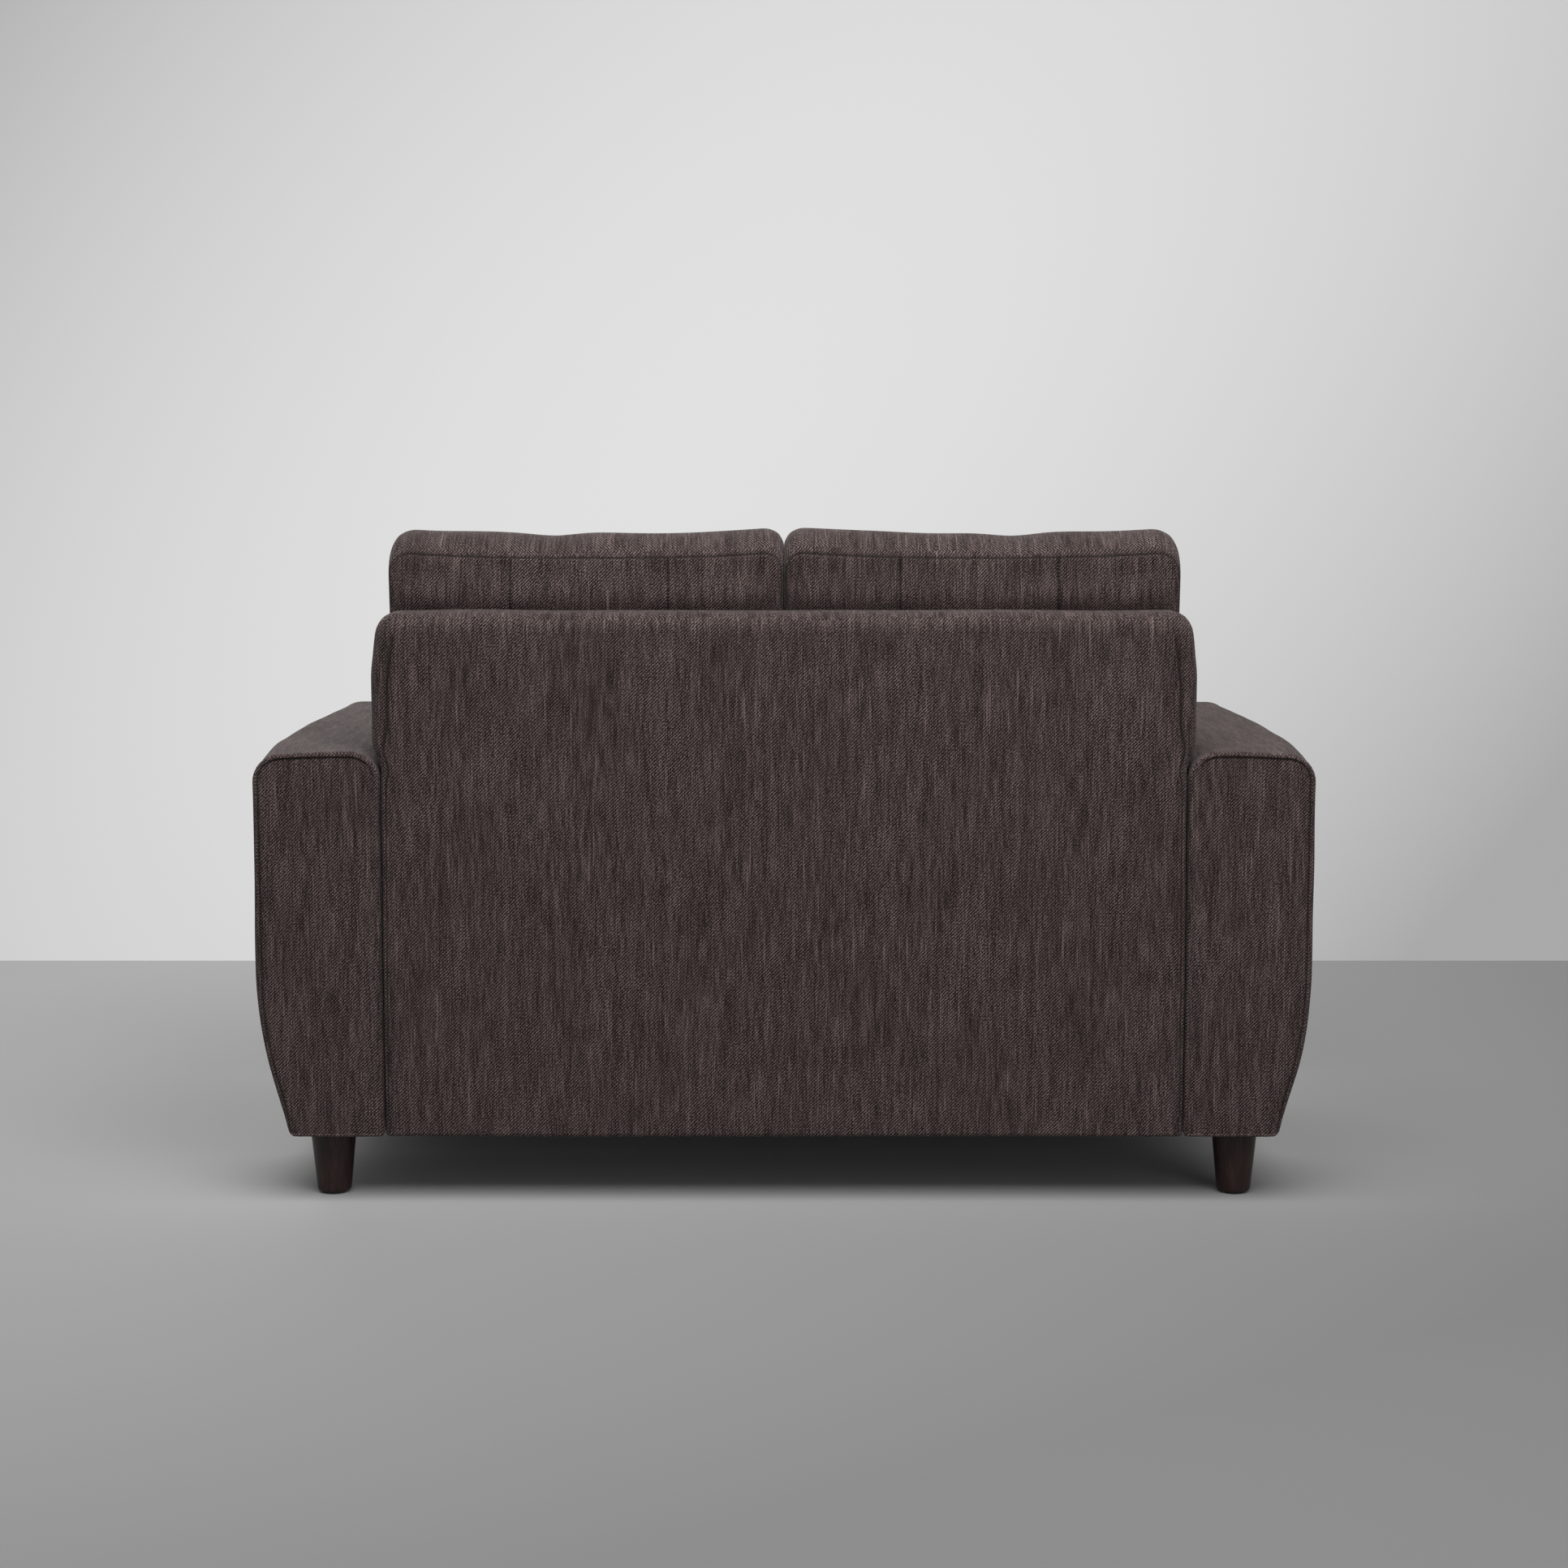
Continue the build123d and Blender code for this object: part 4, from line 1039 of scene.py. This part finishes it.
def dark_wood():
    """Stained wood: grain and pores go through a ramp of three browns, and the grain varies the shine."""
    material, start = new_material("dark_stained_wood")
    place = object_place(start)
    grain = noise(place, grain_scale, detail=4.0, roughness=0.6)
    pore = noise(place, pore_scale, detail=2.0, roughness=0.5)
    tone = grain * grain_share + pore * pore_share
    stops = [(0.30, dark_grain), (0.58, stained_grain), (0.82, light_grain)]
    colour = start.add("ShaderNodeValToRGB", {"stops": stops}, {0: tone})
    bump = start.add("ShaderNodeBump", {}, {"Strength": 0.25, "Distance": 0.0004, "Height": tone})
    close(start.add("ShaderNodeBsdfPrincipled", {}, {
        "Base Color": colour,
        "Roughness": smoothest + grain * roughness_range,
        "Normal": bump,
        "Specular IOR Level": 0.28,
        "Coat Weight": 0.08,
        "Coat Roughness": 0.3,
    }))
    return material


leg_wood = dark_wood()
print("wood", leg_wood.name)

# %% [markdown]
# ## Legs
# A leg is turned on a lathe: its profile, a straight taper with a rounded foot, is spun round its axis. A
# Screw modifier would do that too, but here each ring is worked out, so that the four legs are one mesh with
# closed ends, like the piece that they stand for.
# %% Legs
leg_places = [(x, y) for x in (-0.651, 0.651) for y in (-0.333, 0.353)]
foot_radius, top_radius = 0.0245, 0.033
foot_flat, top_flat = 0.010, 0.02
floor_gap, leg_top, foot_round = 0.002, 0.094, 0.0055
around_count, arc_count, taper_count = 64, 9, 14


def leg_profile():
    """Radius and height along the profile: the centre of the foot, a quarter circle, a straight taper, and
    the centre of the top."""
    arc = np.linspace(0, pi / 2, arc_count)
    radii = [[0.0, foot_flat], foot_radius - foot_round + foot_round * np.sin(arc),
             np.linspace(foot_radius, top_radius, taper_count)[1:], [top_flat, 0.0]]
    heights = [[floor_gap, floor_gap], floor_gap + foot_round * (1 - np.cos(arc)),
               np.linspace(floor_gap + foot_round, leg_top, taper_count)[1:], [leg_top, leg_top]]
    return np.concatenate(radii), np.concatenate(heights)


def turned_leg():
    """Points and faces of one leg: (radius cos angle, radius sin angle, height) on rings, and two centres."""
    radii, heights = leg_profile()
    around = np.linspace(0, 2 * pi, around_count, endpoint=False)
    radius, height = radii[1:-1, None], heights[1:-1, None]
    rings = np.stack([radius * np.cos(around), radius * np.sin(around), height + 0 * around], axis=2)
    centres = [[0, 0, heights[0]], [0, 0, heights[-1]]]
    index = np.arange(rings[..., 0].size).reshape(-1, around_count)
    low, high = index[:-1], index[1:]
    wall = np.stack([low, np.roll(low, -1, 1), np.roll(high, -1, 1), high], axis=2).reshape(-1, 4)
    foot, top = index[0], index[-1]
    foot_cap = np.stack([np.roll(foot, -1), foot, np.full(around_count, index.size)], axis=1)
    top_cap = np.stack([top, np.roll(top, -1), np.full(around_count, index.size + 1)], axis=1)
    return np.concatenate([rings.reshape(-1, 3), centres]), (wall, foot_cap, top_cap)


one_leg, parts = turned_leg()
points = np.concatenate([one_leg + (x, y, 0) for x, y in leg_places])
faces = []
for number in range(len(leg_places)):
    for part in parts:
        faces += (part + number * len(one_leg)).tolist()
mesh = bpy.data.meshes.new("turned_legs")
mesh.from_pydata(points.tolist(), [], faces)
mesh.polygons.foreach_set("use_smooth", np.ones(len(mesh.polygons), dtype=bool))
mesh.materials.append(leg_wood)
legs = bpy.data.objects.new("turned_legs", mesh)
bpy.context.scene.collection.objects.link(legs)
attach(legs, "sofa_frame")
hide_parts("legs")
print("legs", len(mesh.polygons), "faces")

# %% [markdown]
# ## Finishes of the hidden pieces
# The frame inside shows only when someone opens the sofa, but it still gets its own finishes: sawn timber,
# bare steel, foam, webbing, thin black dust cloth and moulded plastic. Each is two tones mixed by noise,
# which is enough for pieces that are seldom seen, and one function makes them all.
# %% Hidden finishes
rougher_grain = 0.2


def speckled(name, dark, light, scale, rough, metal=0.0):
    """A finish whose colour, roughness and relief vary with noise on Object coordinates."""
    material, start = new_material(name)
    grain = noise(object_place(start), scale, detail=3.0, roughness=0.6)
    colour = mix(grain, (*dark, 1.0), (*light, 1.0))
    bump = start.add("ShaderNodeBump", {}, {"Strength": 0.3, "Distance": 0.0003, "Height": grain})
    close(start.add("ShaderNodeBsdfPrincipled", {}, {
        "Base Color": colour,
        "Roughness": rough + grain * rougher_grain,
        "Normal": bump,
        "Metallic": metal,
    }))
    return material


def level_grey(level):
    """A grey colour: the same number three times."""
    return (level, level, level)


def even_scale(scale):
    """The same scale along all three axes."""
    return (scale, scale, scale)


finishes = {
    "frame_wood": speckled("sawn_timber", (0.34, 0.20, 0.10), (0.58, 0.40, 0.23), (60.0, 9.0, 60.0), 0.6),
    "steel": speckled("bare_steel", (0.42, 0.42, 0.43), (0.62, 0.62, 0.63), even_scale(90.0), 0.3, 1.0),
    "foam": speckled("open_foam", (0.62, 0.57, 0.42), (0.78, 0.73, 0.58), even_scale(700.0), 0.8),
    "webbing": speckled("woven_webbing", level_grey(0.008), level_grey(0.03), (300.0, 900.0, 300.0), 0.7),
    "dust_cloth": speckled("black_dust_cloth", level_grey(0.004), level_grey(0.014), even_scale(500.0), 0.85),
    "plastic": speckled("black_plastic", level_grey(0.006), level_grey(0.012), even_scale(200.0), 0.4),
    "upholstery": upholstery,
    "leg_wood": leg_wood,
}
slots = {entry["node"]: entry["material_slot"] for entry in frame["record"]["subparts"]}
for node, piece in frame["nodes"].items():
    for place in piece.material_slots:
        place.material = finishes[slots[node]]
print(len(frame["nodes"]), "nodes finished")
